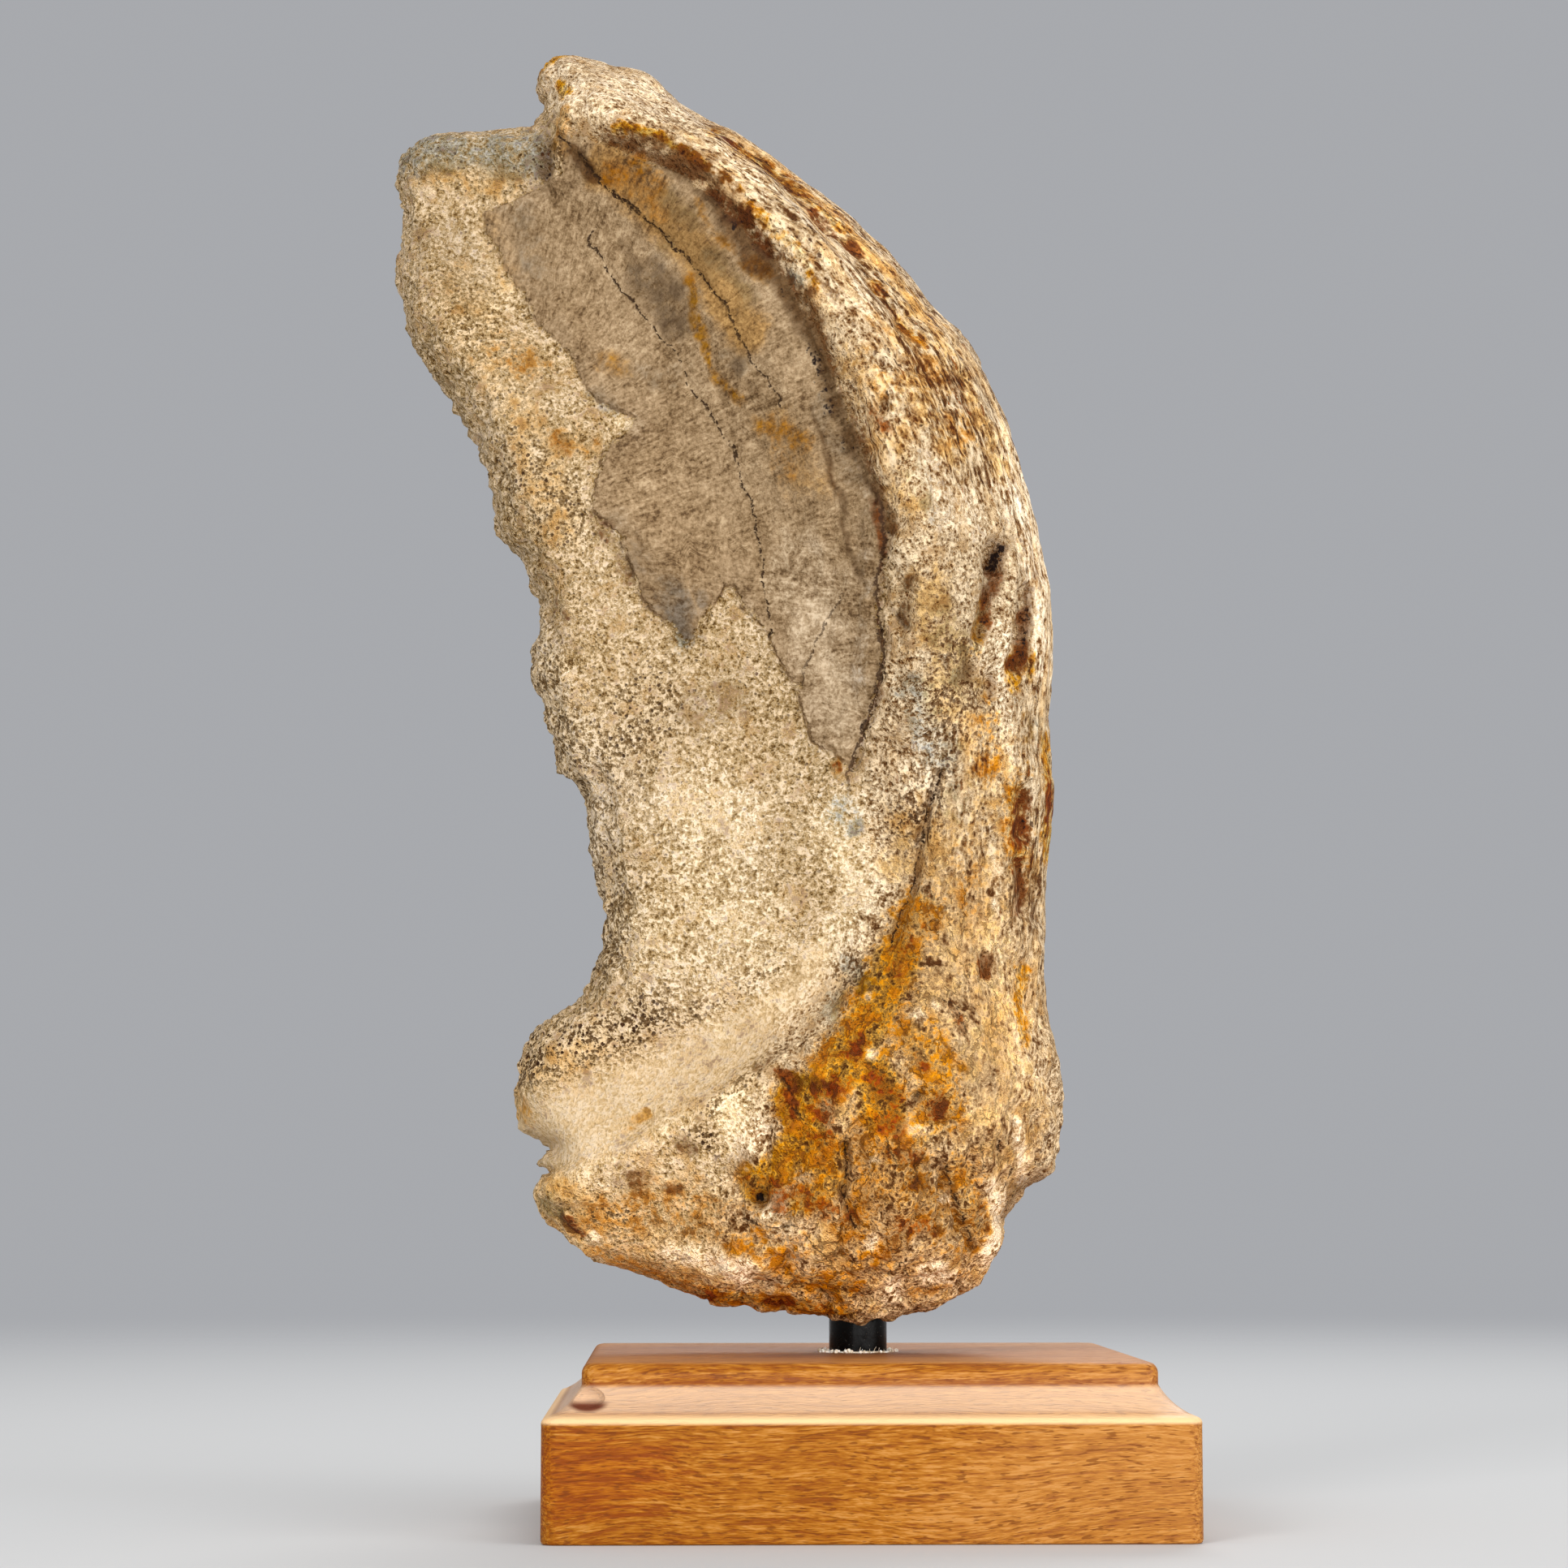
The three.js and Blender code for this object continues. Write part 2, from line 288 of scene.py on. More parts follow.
    def tint(self, amount, under, red, green, blue):
        """Multiply a colour, so that a stain keeps the grain under it."""
        return self.mix(amount, under, (red, green, blue, 1), "MULTIPLY")

    def bump(self, height, strength, distance):
        node = self.nodes.new("ShaderNodeBump")
        self.put(node.inputs["Height"], height)
        node.inputs["Strength"].default_value = strength
        node.inputs["Distance"].default_value = distance
        return node.outputs["Normal"]

    def far_from(self, vector, middle, size):
        """How far a spot is from the middle, where 1 is the size away."""
        node = self.nodes.new("ShaderNodeMapping")
        node.vector_type = "TEXTURE"
        self.put(node.inputs["Vector"], vector)
        node.inputs["Location"].default_value = middle
        node.inputs["Scale"].default_value = size
        length = self.nodes.new("ShaderNodeVectorMath")
        length.operation = "LENGTH"
        self.put(length.inputs[0], node.outputs[0])
        return length.outputs["Value"]

    def ramp(self, value, low, high, colours):
        """Colours, as 0 to 255 in sRGB, evenly spread over the values from low to high."""
        node = self.nodes.new("ShaderNodeValToRGB")
        spread = self.nodes.new("ShaderNodeMapRange")
        self.put(spread.inputs["Value"], value)
        spread.inputs["From Min"].default_value = low
        spread.inputs["From Max"].default_value = high
        self.put(node.inputs[0], spread.outputs["Result"])
        colours = [linear(*colour) for colour in colours]
        stops = node.color_ramp.elements
        for place, colour in zip(np.linspace(0, 1, len(colours))[1:-1], colours[1:-1]):
            stops.new(place).color = colour
        stops[0].color = colours[0]
        stops[len(colours) - 1].color = colours[-1]
        return node.outputs["Color"]

    def cover(self, piece, colour, roughness, normal):
        """Set what the shader needs most and give the material to a piece."""
        self.put(self.shader.inputs["Base Color"], colour)
        self.put(self.shader.inputs["Roughness"], roughness)
        if normal is not None:
            self.put(self.shader.inputs["Normal"], normal)
        piece.data.materials.clear()
        piece.data.materials.append(self.material)
        print(self.material.name, "covers", piece.name, "with", len(self.nodes), "nodes")


# The floor is a wide disc of pale paper that fades into the pale room, so no horizon shows.
paper = Finish("pale_paper")
faded = paper.far_from(paper.place(), (0, 0, 0), (FLOOR_RADIUS, FLOOR_RADIUS, 1))
paper.put(paper.shader.inputs["Alpha"], paper.step(faded, 0.5, 0.06))
paper.cover(floor, linear(200, 200, 199), 0.9, None)


# %% [markdown]
# ## The bone, first step: a skin fine enough to sculpt
#
# The bone grew as one piece, so it stays one mesh. By hand it would be sculpted: remesh, then carve
# with brushes. No operator can brush without a window, so the same steps are done here in code. The
# CAD bone is copied and merged, a voxel remesh gives it even faces, and a Smooth modifier takes the
# flat facets of the loft away. The hole for the post keeps its shape, so it is left out of that.

# %% Copy and remesh the bone
VOXEL = 0.74 * MM
SMOOTH_ROUNDS = 20
HOLE_KEEP = 8 * MM      # how far round the post's hole nothing is moved
HOLE_MOUTH = 1.5 * MM   # the mouth of the hole, which may move
HOLE_TOP = 3 * MM       # the bone above the post's end, which may not
post_middle = (post_low + post_high) / 2


def read_places(mesh, what="co"):
    values = np.empty(len(mesh.vertices) * 3, np.float32)
    mesh.vertices.foreach_get(what, values)
    return values.reshape(-1, 3).astype(float)


def write_places(mesh, places):
    mesh.vertices.foreach_set("co", places.astype(np.float32).ravel())
    mesh.update()


select_only(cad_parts["bone"])
bpy.ops.object.duplicate()
bone = bpy.context.object
bone.name = "weathered_bone"
bone.parent = None
for key in list(bone.keys()):
    del bone[key]
bpy.ops.object.mode_set(mode="EDIT")
bpy.ops.mesh.select_all(action="SELECT")
bpy.ops.mesh.remove_doubles(threshold=0.01 * MM)
bpy.ops.mesh.tris_convert_to_quads()
bpy.ops.object.mode_set(mode="OBJECT")

remesh = bone.modifiers.new("even_faces", "REMESH")
remesh.mode = "VOXEL"
remesh.voxel_size = VOXEL
bpy.ops.object.modifier_apply(modifier=remesh.name)


def away_from_hole(places):
    """1 on the outside of the bone and 0 in the hole for the post."""
    reach = np.hypot(places[:, 0] - post_middle.x, places[:, 1] - post_middle.y)
    in_hole = (reach < HOLE_KEEP) & (places[:, 2] < post_high.z + HOLE_TOP)
    return np.where(in_hole & (places[:, 2] > bone_low.z + HOLE_MOUTH), 0.0, 1.0)


places = read_places(bone.data)
skin = bone.vertex_groups.new(name="skin")
skin.add([int(i) for i in np.nonzero(away_from_hole(places) > 0.5)[0]], 1.0, "REPLACE")
smooth = bone.modifiers.new("no_facets", "SMOOTH")
smooth.factor = 0.5
smooth.iterations = SMOOTH_ROUNDS
smooth.vertex_group = "skin"
bpy.ops.object.modifier_apply(modifier=smooth.name)
print("bone skin:", len(bone.data.vertices), "vertices")

# %% [markdown]
# ## The bone's lines and patches
#
# What makes this bone itself is drawn on it like a map. The smooth taupe facet, where the skull sat,
# has a ragged left border, where the worn bone has lost its skin, and a clean right one under the
# rim. Cracks run down it, and vein holes open on the thick side. Each is a run of `(x, z)` points in
# millimetres, as seen from the front or from the back.

# %% The map of the front
FACET_RIM = [
    (-52.4, 239), (-44.5, 236.7), (-36.7, 233.5), (-29.3, 230), (-22, 222.5), (-14.4, 213.4),
    (-8.9, 203), (-4.1, 191.7), (-0.4, 180.4), (2.7, 173), (4, 166), (2.6, 161), (2.1, 153),
    (3.2, 147), (2.7, 143), (1.5, 138), (-0.5, 132), (-1.8, 128),
]
FACET_BREAK = [
    (-3.9, 129.4), (-8.6, 132.5), (-11.3, 142), (-14.1, 146.7), (-15.8, 151.2), (-20.4, 156.2),
    (-21.8, 159.9), (-23.5, 159.7), (-25.9, 155.2), (-27.8, 152.3), (-29.8, 148.7), (-32.3, 152.2),
    (-35.5, 154.9), (-37.9, 157.7), (-39.4, 162.2), (-42, 168.7), (-46.7, 172.7), (-45.6, 178.2),
    (-44.4, 183.5), (-41.1, 186.5), (-38.9, 189.6), (-45.3, 192.1), (-47.9, 195.1), (-49.3, 199.6),
    (-52.2, 202.6), (-56.8, 207.4), (-61, 215.4), (-65.6, 224), (-65.8, 227.4), (-58.2, 230.3),
    (-52.1, 233.1),
]
LONG_CRACK = [
    (-46.6, 222.5), (-47.4, 221), (-44.5, 217.2), (-42.2, 213), (-38.8, 208.4), (-35.7, 205),
    (-31.6, 199.2), (-29.6, 194.9), (-26.8, 190.9), (-22.7, 184.2), (-20.3, 176.9), (-18.9, 172.6),
    (-17.2, 164.2), (-16.7, 160), (-15.8, 151.2),
]
DARK_CRACK = [
    (-52.4, 239.5), (-48.4, 234.8), (-43.8, 229.6), (-37.4, 223.8), (-33.2, 220), (-30.4, 216.7),
    (-27.5, 213.2), (-23.9, 208),
]
FINE_CRACK = [(-23.9, 208), (-21.9, 203.8), (-20.4, 200.5), (-18.5, 197.2), (-15, 191.7), (-14, 189.7)]
SIDE_CRACK = [
    (12.8, 126.5), (11.2, 122.5), (10.7, 119.3), (9.8, 115.7), (9.1, 111.2), (8.1, 106.9),
    (6.3, 102.2), (4.9, 98.2),
]
TONGUE_CRACK = [(-3.9, 156.4), (-8.6, 148.5), (-10.7, 143.1)]
FOOT_FISSURE = [(-3.4, 64), (-3.2, 60), (-4.2, 56.5), (-2.6, 52.5), (-1.7, 50)]
FOOT_FURROW = [(13.4, 60), (15, 55), (16.8, 51), (18.8, 47)]
# The smaller cracks of the foot, each with how dark it is.
FOOT_CRACKS = [
    (FOOT_FISSURE, 1.0), (FOOT_FURROW, 0.9), ([(3.3, 64.5), (4, 62.5), (6.4, 57.5)], 0.7),
    ([(19.7, 63), (20.1, 58.5)], 0.7), ([(-19.8, 51), (-15, 49.8), (-11.5, 50.3)], 0.7),
    ([(-10, 48.7), (-8.2, 47), (-5.9, 45)], 0.8),
    ([(-13.7, 75), (-12.4, 72.6), (-11.9, 70), (-10, 67.5)], 0.8),
    ([(4.8, 44), (3.8, 41.8)], 0.9), ([(0.4, 77.2), (3.8, 75.2)], 0.7), ([(6.6, 44), (7.6, 42)], 0.7),
    ([(13, 88), (15.2, 86.6), (16.6, 83.4)], 0.8), ([(8, 63), (8.6, 59), (10, 56)], 0.5),
    ([(-8, 61), (-5.4, 57)], 0.5), ([(22.4, 64.6), (22.6, 62)], 0.9), ([(25, 60), (24.4, 57.4)], 0.8),
]
# The back has a flatter facet, for the next vertebra, and cracks of its own.
BACK_FACET = [
    (-50, 221), (-41, 226), (-30, 223), (-19, 212), (-11, 197), (-7, 180), (-8, 163), (-12, 148),
    (-18, 137), (-26, 132), (-31, 136), (-34, 146), (-39, 152), (-41, 163), (-46, 171), (-47, 184),
    (-53, 192), (-55, 208),
]
BACK_CRACKS = [
    ([(2, 224), (8, 208), (11, 190), (9.4, 172), (11.6, 152), (9, 132), (10.6, 112), (7, 92),
      (8, 78)], 1.0),
    ([(-19, 129), (-14.6, 112), (-16, 94), (-10, 76), (-11, 66)], 0.8),
    ([(23, 184), (25, 162), (23, 142)], 0.7), ([(-38, 214), (-31, 196), (-28, 176), (-22, 158)], 0.7),
    ([(-30, 66), (-26, 56), (-27, 47)], 0.8), ([(16, 74), (13, 60), (15, 48)], 0.8),
]


def in_metres(points):
    return np.array(points, float) * MM


def line_distance(spots, points):
    """For each (x, z) spot: its distance from a run of points, its side, and how far along it is."""
    nearest = np.full(len(spots), np.inf)
    side = np.ones(len(spots))
    along = np.zeros(len(spots))
    travelled = 0.0
    path = in_metres(points)
    for start, end in zip(path[:-1], path[1:]):
        run = end - start
        length = np.hypot(*run)
        share = np.clip((spots - start) @ run / length ** 2, 0, 1)
        gap = spots - start - share[:, None] * run
        distance = np.hypot(gap[:, 0], gap[:, 1])
        nearer = distance < nearest
        side = np.where(nearer, np.where(run[0] * gap[:, 1] - run[1] * gap[:, 0] > 0, 1, -1), side)
        along = np.where(nearer, travelled + share * length, along)
        nearest = np.where(nearer, distance, nearest)
        travelled += length
    return nearest, side, along


def inside(spots, points):
    """Whether each spot is inside a closed outline."""
    path = in_metres(points)
    crossed = np.zeros(len(spots), bool)
    for start, end in zip(path, np.roll(path, -1, axis=0)):
        spans = (start[1] > spots[:, 1]) != (end[1] > spots[:, 1])
        rise = end[1] - start[1] if end[1] != start[1] else 1e-12
        reach = start[0] + (spots[:, 1] - start[1]) * (end[0] - start[0]) / rise
        crossed ^= spans & (spots[:, 0] < reach)
    return crossed


def outline_depth(spots, points):
    """How deep each spot is inside an outline, negative outside it."""
    distance, _, _ = line_distance(spots, points + points[:1])
    return np.where(inside(spots, points), distance, -distance)


def front_spots(places):
    """The (x, z) of each place, as seen from the front."""
    return places[:, [0, 2]]


def soft(values, low, high):
    """0 at low and 1 at high, smooth between; low may be above high."""
    share = np.clip((values - low) / (high - low), 0, 1)
    return share * share * (3 - 2 * share)


print("facet outline of", len(FACET_RIM) + len(FACET_BREAK), "points")

# %% [markdown]
# ## Noise for sculpting
#
# Weathered bone is never even. Two kinds of noise do most of the work: soft lumps, and pits like the
# cells of a sponge. Both are small and repeatable, so the bone is the same each time.

# %% Lumps and pits
rng = np.random.default_rng(7)
SHUFFLE = rng.permutation(256)
SLOPES = rng.normal(size=(256, 3))
SLOPES /= np.linalg.norm(SLOPES, axis=1)[:, None]
SCATTER = rng.random((256, 3))
# Each seed looks at another part of the noise, this many lumps or pits further on.
LUMPS_APART = 19.7
PITS_APART = 23.1
LUMPS_GAIN = 1.6        # brings the lumps' height to about 1
FURTHEST = 9.0          # more than the distance to any pit


def shuffled(cell):
    mixed = SHUFFLE[cell[:, 0] & 255]
    mixed = SHUFFLE[(mixed + cell[:, 1]) & 255]
    return SHUFFLE[(mixed + cell[:, 2]) & 255]


def lumps(places, size, seed=0):
    """Smooth noise of about -1 to 1 with lumps of the given size."""
    spots = places / size + seed * LUMPS_APART
    cell = np.floor(spots).astype(int)
    part = spots - cell
    ease = part ** 3 * (part * (part * 6 - 15) + 10)
    total = np.zeros(len(places))
    for corner in np.ndindex(2, 2, 2):
        step = np.array(corner)
        weight = np.prod(np.where(step, ease, 1 - ease), axis=1)
        slope = SLOPES[shuffled(cell + step)]
        total += weight * (slope * (part - step)).sum(axis=1)
    return total * LUMPS_GAIN


def rough(places, size, seed=0, layers=3):
    """Lumps on lumps, each layer half the size and half the height."""
    return sum(lumps(places, size / 2 ** k, seed + k) / 2 ** k for k in range(layers))


def pits(places, size, seed=0):
    """The distance to the nearest of scattered spots, in shares of the size."""
    spots = places / size + seed * PITS_APART
    cell = np.floor(spots).astype(int)
    nearest = np.full(len(places), FURTHEST)
    for corner in np.ndindex(3, 3, 3):
        step = cell + np.array(corner) - 1
        gap = step + SCATTER[shuffled(step)] - spots
        nearest = np.minimum(nearest, np.linalg.norm(gap, axis=1))
    return nearest


print("noise ready")

# %% [markdown]
# ## Carving
#
# More faces are added where a line or an edge must be crisp, along the facet's border and the cracks.
# Then the surface moves in or out along its normals, a stroke at a time: the facet stands proud of
# the worn bone, the rim stands over the facet, and the vein holes go in. The back is carved in the
# same way from tables of its own. First the outline is pushed and pulled to its broken shape.

# %% Nudge the outline
# Each row is a place, a reach and a move to the side and up, in millimetres. It works through the
# whole thickness, as a grab brush does, and gives the broken outline its small bays and bumps.
NUDGES = [
    (-57, 240.4, 3.2, 0.2, -1.1), (-53.4, 243.2, 1.8, 0.9, 0), (-54, 251.6, 3.0, -0.9, 0.8),
    (-37, 254, 4.0, 0.3, 0.6), (-23, 240.8, 5.0, 0.6, 0.8), (13.5, 211.5, 7.0, -1.1, -0.9),
    (22, 199, 7.0, -0.9, -0.3), (28.6, 181, 9.0, -0.5, 0), (31.5, 152, 8.0, -0.4, 0),
    (30.5, 116, 8.0, -0.4, 0), (-62.8, 171, 4.5, -1.2, -0.5), (-58.5, 162, 2.5, -0.8, 0),
    (-56.6, 148.6, 2.6, 0.8, 0), (-51.2, 128.6, 3.2, -1.0, 0), (-54, 138, 2.5, -0.6, 0),
    (-48.6, 88.3, 3.0, 0.9, 0.3), (-46.6, 97, 3.0, 0.5, 0), (-58.3, 67.2, 2.6, -0.9, -0.7),
    (-52.8, 63.8, 1.3, 0.8, 0.3), (-52.8, 61.2, 1.1, -2.1, 0), (-53.4, 59.2, 1.1, 1.3, 0),
    (-57, 54, 2.2, 0.7, 0), (-45.4, 42.4, 2.4, -0.5, -1.1), (-20.3, 34.4, 4.0, 0, 0.5),
    (31, 55.2, 3.2, -0.7, 0.4), (24.8, 46.6, 2.6, 0.6, -0.2), (-33, 37.2, 1.8, 0, -0.7),
    (-49.6, 118, 1.6, 0.5, 0), (-48.4, 112, 1.5, -0.5, 0), (-60.8, 178.6, 1.6, 0.5, 0),
    (-66.8, 193, 1.8, -0.5, 0), (-70.2, 201.5, 1.8, 0.5, 0), (-47, 104.6, 1.5, 0.4, 0),
]
places = read_places(bone.data)
away = away_from_hole(places)
moved = np.zeros_like(places)
for x, z, reach, sideways, up in NUDGES:
    gap = np.hypot(places[:, 0] - x * MM, places[:, 2] - z * MM)
    weight = np.exp(-(gap / (reach * MM)) ** 2) * away
    moved += weight[:, None] * np.array([sideways, 0, up]) * MM
write_places(bone.data, places + moved)
print("outline nudged by up to", round(np.abs(moved).max() / MM, 2), "mm")

# %% More faces where lines run
FINE_LINES = [FACET_RIM, FACET_BREAK, DARK_CRACK, SIDE_CRACK, FOOT_FISSURE, FOOT_FURROW]
FINE_REACH = 1.3 * MM

places = read_places(bone.data)
normals = read_places(bone.data, "normal")
near_line = np.full(len(places), np.inf)
for line in FINE_LINES:
    near_line = np.minimum(near_line, line_distance(front_spots(places), line)[0])
wanted = (near_line < FINE_REACH) & (normals[:, 1] < -0.1)
near_back = line_distance(front_spots(places), BACK_FACET + BACK_FACET[:1])[0]
wanted |= (near_back < FINE_REACH) & (normals[:, 1] > 0.1)

bpy.ops.object.mode_set(mode="EDIT")
bpy.ops.mesh.select_all(action="DESELECT")
bpy.ops.object.mode_set(mode="OBJECT")
bone.data.vertices.foreach_set("select", wanted)
corners = np.empty(len(bone.data.loops), np.int32)
bone.data.loops.foreach_get("vertex_index", corners)
starts = np.empty(len(bone.data.polygons), np.int32)
bone.data.polygons.foreach_get("loop_start", starts)
bone.data.polygons.foreach_set("select", np.logical_and.reduceat(wanted[corners], starts))
bpy.ops.object.mode_set(mode="EDIT")
bpy.ops.mesh.select_mode(type="FACE")
bpy.ops.mesh.subdivide(number_cuts=1)
bpy.ops.object.mode_set(mode="OBJECT")
print("with finer faces:", len(bone.data.vertices), "vertices")

# %% [markdown]
# ## Strokes
#
# A stroke is a run of points with a reach to the side and a height, as a brush has a size and a
# strength. Above 0 it builds the bone up, below 0 it carves. A single point makes a round dab.

# %% Strokes on the front and the back
BUILT_UP = [
    ([(-50, 243), (-36, 238.5), (-28, 235), (-19, 227), (-10, 216), (-4, 205), (1, 193), (5, 182),
      (7.5, 170), (7.5, 158), (6, 146), (4, 134)], 4.0, 1.3),                  # rim over the facet
    ([(-33, 245.5), (-27.6, 240), (-22.6, 235.7), (-17, 230), (-12.2, 223.5), (-8.8, 218.7),
      (-5.4, 214)], 1.8, 0.7),                                                 # bare ridge on the rim
    ([(-16, 238), (-4, 227), (7, 213), (16, 198), (22, 185), (25, 174)], 1.8, 0.6),
    ([(-50.5, 246), (-51.5, 239), (-53, 233)], 1.6, 1.2),                      # seam of the two lobes
    ([(-37, 226), (-29, 219), (-21, 209), (-14, 196), (-9, 184), (-6.5, 172), (-6, 160)], 2.2, 0.6),
    ([(-54, 57), (-44, 60), (-30, 68), (-16, 76)], 2.5, 0.9),                  # lip of the pale groove
    ([(-53, 76), (-44, 81), (-33, 85)], 2.5, 0.6),
    ([(25.6, 165), (25.2, 157), (24, 148)], 1.5, 0.8),                         # bars between vein holes
    ([(31.5, 160), (31, 150)], 1.6, 0.6),
    ([(18.5, 160), (18, 152)], 2.0, 0.5),
    ([(23.4, 113), (23.8, 103)], 1.6, 0.9),
    ([(30, 97), (31.4, 89), (32.4, 79)], 1.8, 0.8),
    ([(27, 118), (29, 100)], 4.0, 0.8),
    ([(12.5, 62.8), (14.2, 58.2)], 1.1, 0.7),
    ([(18.6, 64.3), (20.9, 58.5)], 1.1, 0.6),
    ([(23, 55), (24, 51.7), (21.4, 46.2)], 1.8, 0.9),
    ([(-2, 70), (4, 60), (6, 48)], 5.0, 1.2),
    ([(-12, 48), (-20, 44)], 4.0, 0.8),
    ([(-32, 47), (-22, 43.5)], 2.4, 0.7),
    ([(-47, 47), (-44, 45)], 2.0, 0.6),
]
CARVED = [
    ([(4, 167), (2.6, 161), (2.1, 153), (3.2, 147), (2.7, 143), (1.5, 138), (-0.5, 132), (-1.8, 128)],
     0.9, -1.2),                                                               # crevice by the facet
    ([(-42, 236.5), (-33, 232.5), (-25.5, 226), (-18.5, 217.5), (-12.5, 207), (-7.5, 196), (-3.5, 185),
      (0, 175)], 2.6, -1.3),                                                   # hollow under the rim
    ([(-8.9, 200), (-5.4, 189), (-2.7, 179), (-0.9, 169.6), (-0.3, 161), (-0.8, 150.6), (-1.8, 141)],
     0.9, -0.4),
    ([(-31.9, 248.8), (-27.4, 244.9), (-19, 237), (-14.3, 233.5), (-8.5, 225), (-2.3, 219), (0.4, 213.6),
      (6.2, 204.5), (11.9, 193.4), (14, 189)], 1.3, -0.7),                     # furrow on the rim
    ([(-11.2, 218.6), (-8.2, 213.8), (-5.6, 207.7), (-3.4, 204)], 0.8, -0.6),
    ([(10, 183), (11.5, 176), (11.8, 168)], 1.0, -0.5),
    ([(17, 196), (22.5, 181), (25.5, 168)], 1.0, -0.5),
    ([(-7, 224), (-6, 222.5)], 1.6, -1.2),
    ([(2.6, 195.8), (2.9, 194.8)], 0.8, -1.3),
    ([(6.2, 197), (6.5, 195.8)], 0.8, -1.2),
    ([(-2, 202.5)], 0.8, -1.1),
    ([(8, 188.3), (8.3, 187.3)], 0.8, -1.1),
    ([(3.2, 188.6), (3.4, 187.4)], 0.8, -1.1),
    ([(-55, 243), (-54.5, 236), (-55.5, 231)], 1.8, -1.0),
    ([(22.9, 165.3), (22.6, 162.5)], 1.3, -4.0),                               # vein holes
    ([(22.4, 162), (21.2, 156), (19.8, 150)], 1.4, -1.9),
    ([(28.5, 158.5), (27.9, 152.2)], 1.3, -2.4),
    ([(27.4, 151), (26.2, 145.5)], 1.3, -1.9),
    ([(28, 124), (27.3, 117)], 1.5, -1.6),
    ([(27, 112), (27.4, 104)], 1.2, -1.4),
    ([(30, 110), (30.3, 103)], 1.1, -1.0),
    ([(22, 143), (21.6, 140)], 0.9, -1.3),
    ([(18, 144.5), (17, 141)], 1.2, -0.9),
    ([(21, 95.6), (21.1, 92.6)], 0.9, -1.3),
    ([(11.8, 100.6)], 1.1, -1.0),
    ([(7.3, 158), (7, 151)], 1.6, -0.9),
    ([(-17.3, 54.8)], 1.2, -3.2),
    (FOOT_FISSURE, 0.8, -1.5),
    ([(8.6, 71.9)], 1.1, -2.0),
    ([(12.5, 70)], 2.0, -0.9),
    (FOOT_FURROW, 0.8, -1.4),
    ([(22.8, 64.3), (22.6, 62.2)], 0.8, -1.0),
    ([(-11.9, 75.4), (-11.4, 70.5)], 0.8, -0.8),
    ([(-40.5, 64.6), (-36.3, 68.8)], 1.2, -0.6),
    ([(-50, 53), (-43.6, 53)], 1.2, -0.7),
    ([(0, 60), (-1.5, 66)], 1.0, -0.8),
    ([(32, 58), (27, 56.5), (25, 52)], 2.0, -1.5),
    (SIDE_CRACK, 0.8, -1.3),
    (LONG_CRACK, 0.6, -0.3),
    (DARK_CRACK, 0.7, -0.6),
]
BACK_BUILT_UP = [
    ([(-50, 221), (-41, 226), (-30, 223), (-19, 212), (-11, 197), (-7, 180), (-8, 163), (-12, 148)],
     2.6, 1.0),                                                                # rim of the back facet
    ([(4, 236), (18, 206), (26, 176), (27, 146), (23, 116), (26, 90)], 4.5, 1.3),   # muscle line
    ([(-8, 118), (-2, 96), (-6, 74)], 5, 1.2),
    ([(-36, 78), (-22, 70), (-10, 56)], 5, 1.1),
    ([(14, 64), (8, 52)], 4, 0.9),
]
BACK_CARVED = [
    ([(10, 206), (15, 180), (16, 150), (13, 120)], 4.5, -1.3),
    ([(-22, 122), (-18, 104), (-24, 88)], 5, -1.2),
    ([(12.6, 152), (12, 145.6)], 1.5, -3.0),                                   # vein holes
    ([(19.6, 131), (19.2, 127)], 1.2, -2.4),
    ([(-2, 118.6), (-3.4, 113)], 1.3, -2.6),
    ([(19, 97)], 1.3, -2.2),
    ([(-29.6, 98), (-28, 94)], 1.4, -2.4),
    ([(3.6, 206.5), (4.4, 203)], 1.1, -2.0),
    ([(-18.6, 65)], 1.6, -2.6),
    ([(-38, 118)], 1.1, -2.0),
    ([(2, 58), (3, 54)], 1.1, -2.0),
    ([(-46, 238), (-40, 236)], 1.6, -1.4),
]
# How far the facet's skin stands proud, and the other depths of the back, in millimetres.
FACET_STEP = 0.9
DISH_DEPTH = 1.4
CRACK_DEPTH = 0.7
CRACK_REACH = 0.7
STEP_WIDTH = 0.35 * MM
FACET_BLEND = 1.5 * MM


def stroke_weight(spots, points, reach):
    if len(points) == 1:
        distance = np.hypot(*(spots - in_metres(points)[0]).T)
    else:
        distance = line_distance(spots, points)[0]
    return np.exp(-(distance / (reach * MM)) ** 2)


def strokes(spots, table):
    """The height of a table of strokes, in millimetres."""
    return sum(height * stroke_weight(spots, points, reach) for points, reach, height in table)


def patch(spots, table):
    """The strongest of a table of dabs and strokes, each with a strength up to 1 and a firm edge."""
    strongest = np.zeros(len(spots))
    for points, reach, strength in table:
        inner = -np.log(stroke_weight(spots, points, reach) + 1e-12)
        strongest = np.maximum(strongest, strength * np.exp(-inner ** 1.7))
    return strongest


print("strokes on the front:", len(BUILT_UP) + len(CARVED),
      "on the back:", len(BACK_BUILT_UP) + len(BACK_CARVED))

# %% [markdown]
# ## Grain
#
# The bone's fibres run along its thick side, round the bend and down to the foot. A curve follows
# them, and each spot on the bone gets its place across and along that curve. Noise that is stretched
# along it looks like fibres.

# %% The fibres' course
GRAIN_COURSE = [
    (-2, 20), (4, 45), (9, 70), (12, 95), (14, 120), (15, 145), (13, 168), (7, 190), (-3, 209),
    (-17, 225), (-34, 239), (-52, 249), (-70, 257),
]
GRAIN_STEPS = 12


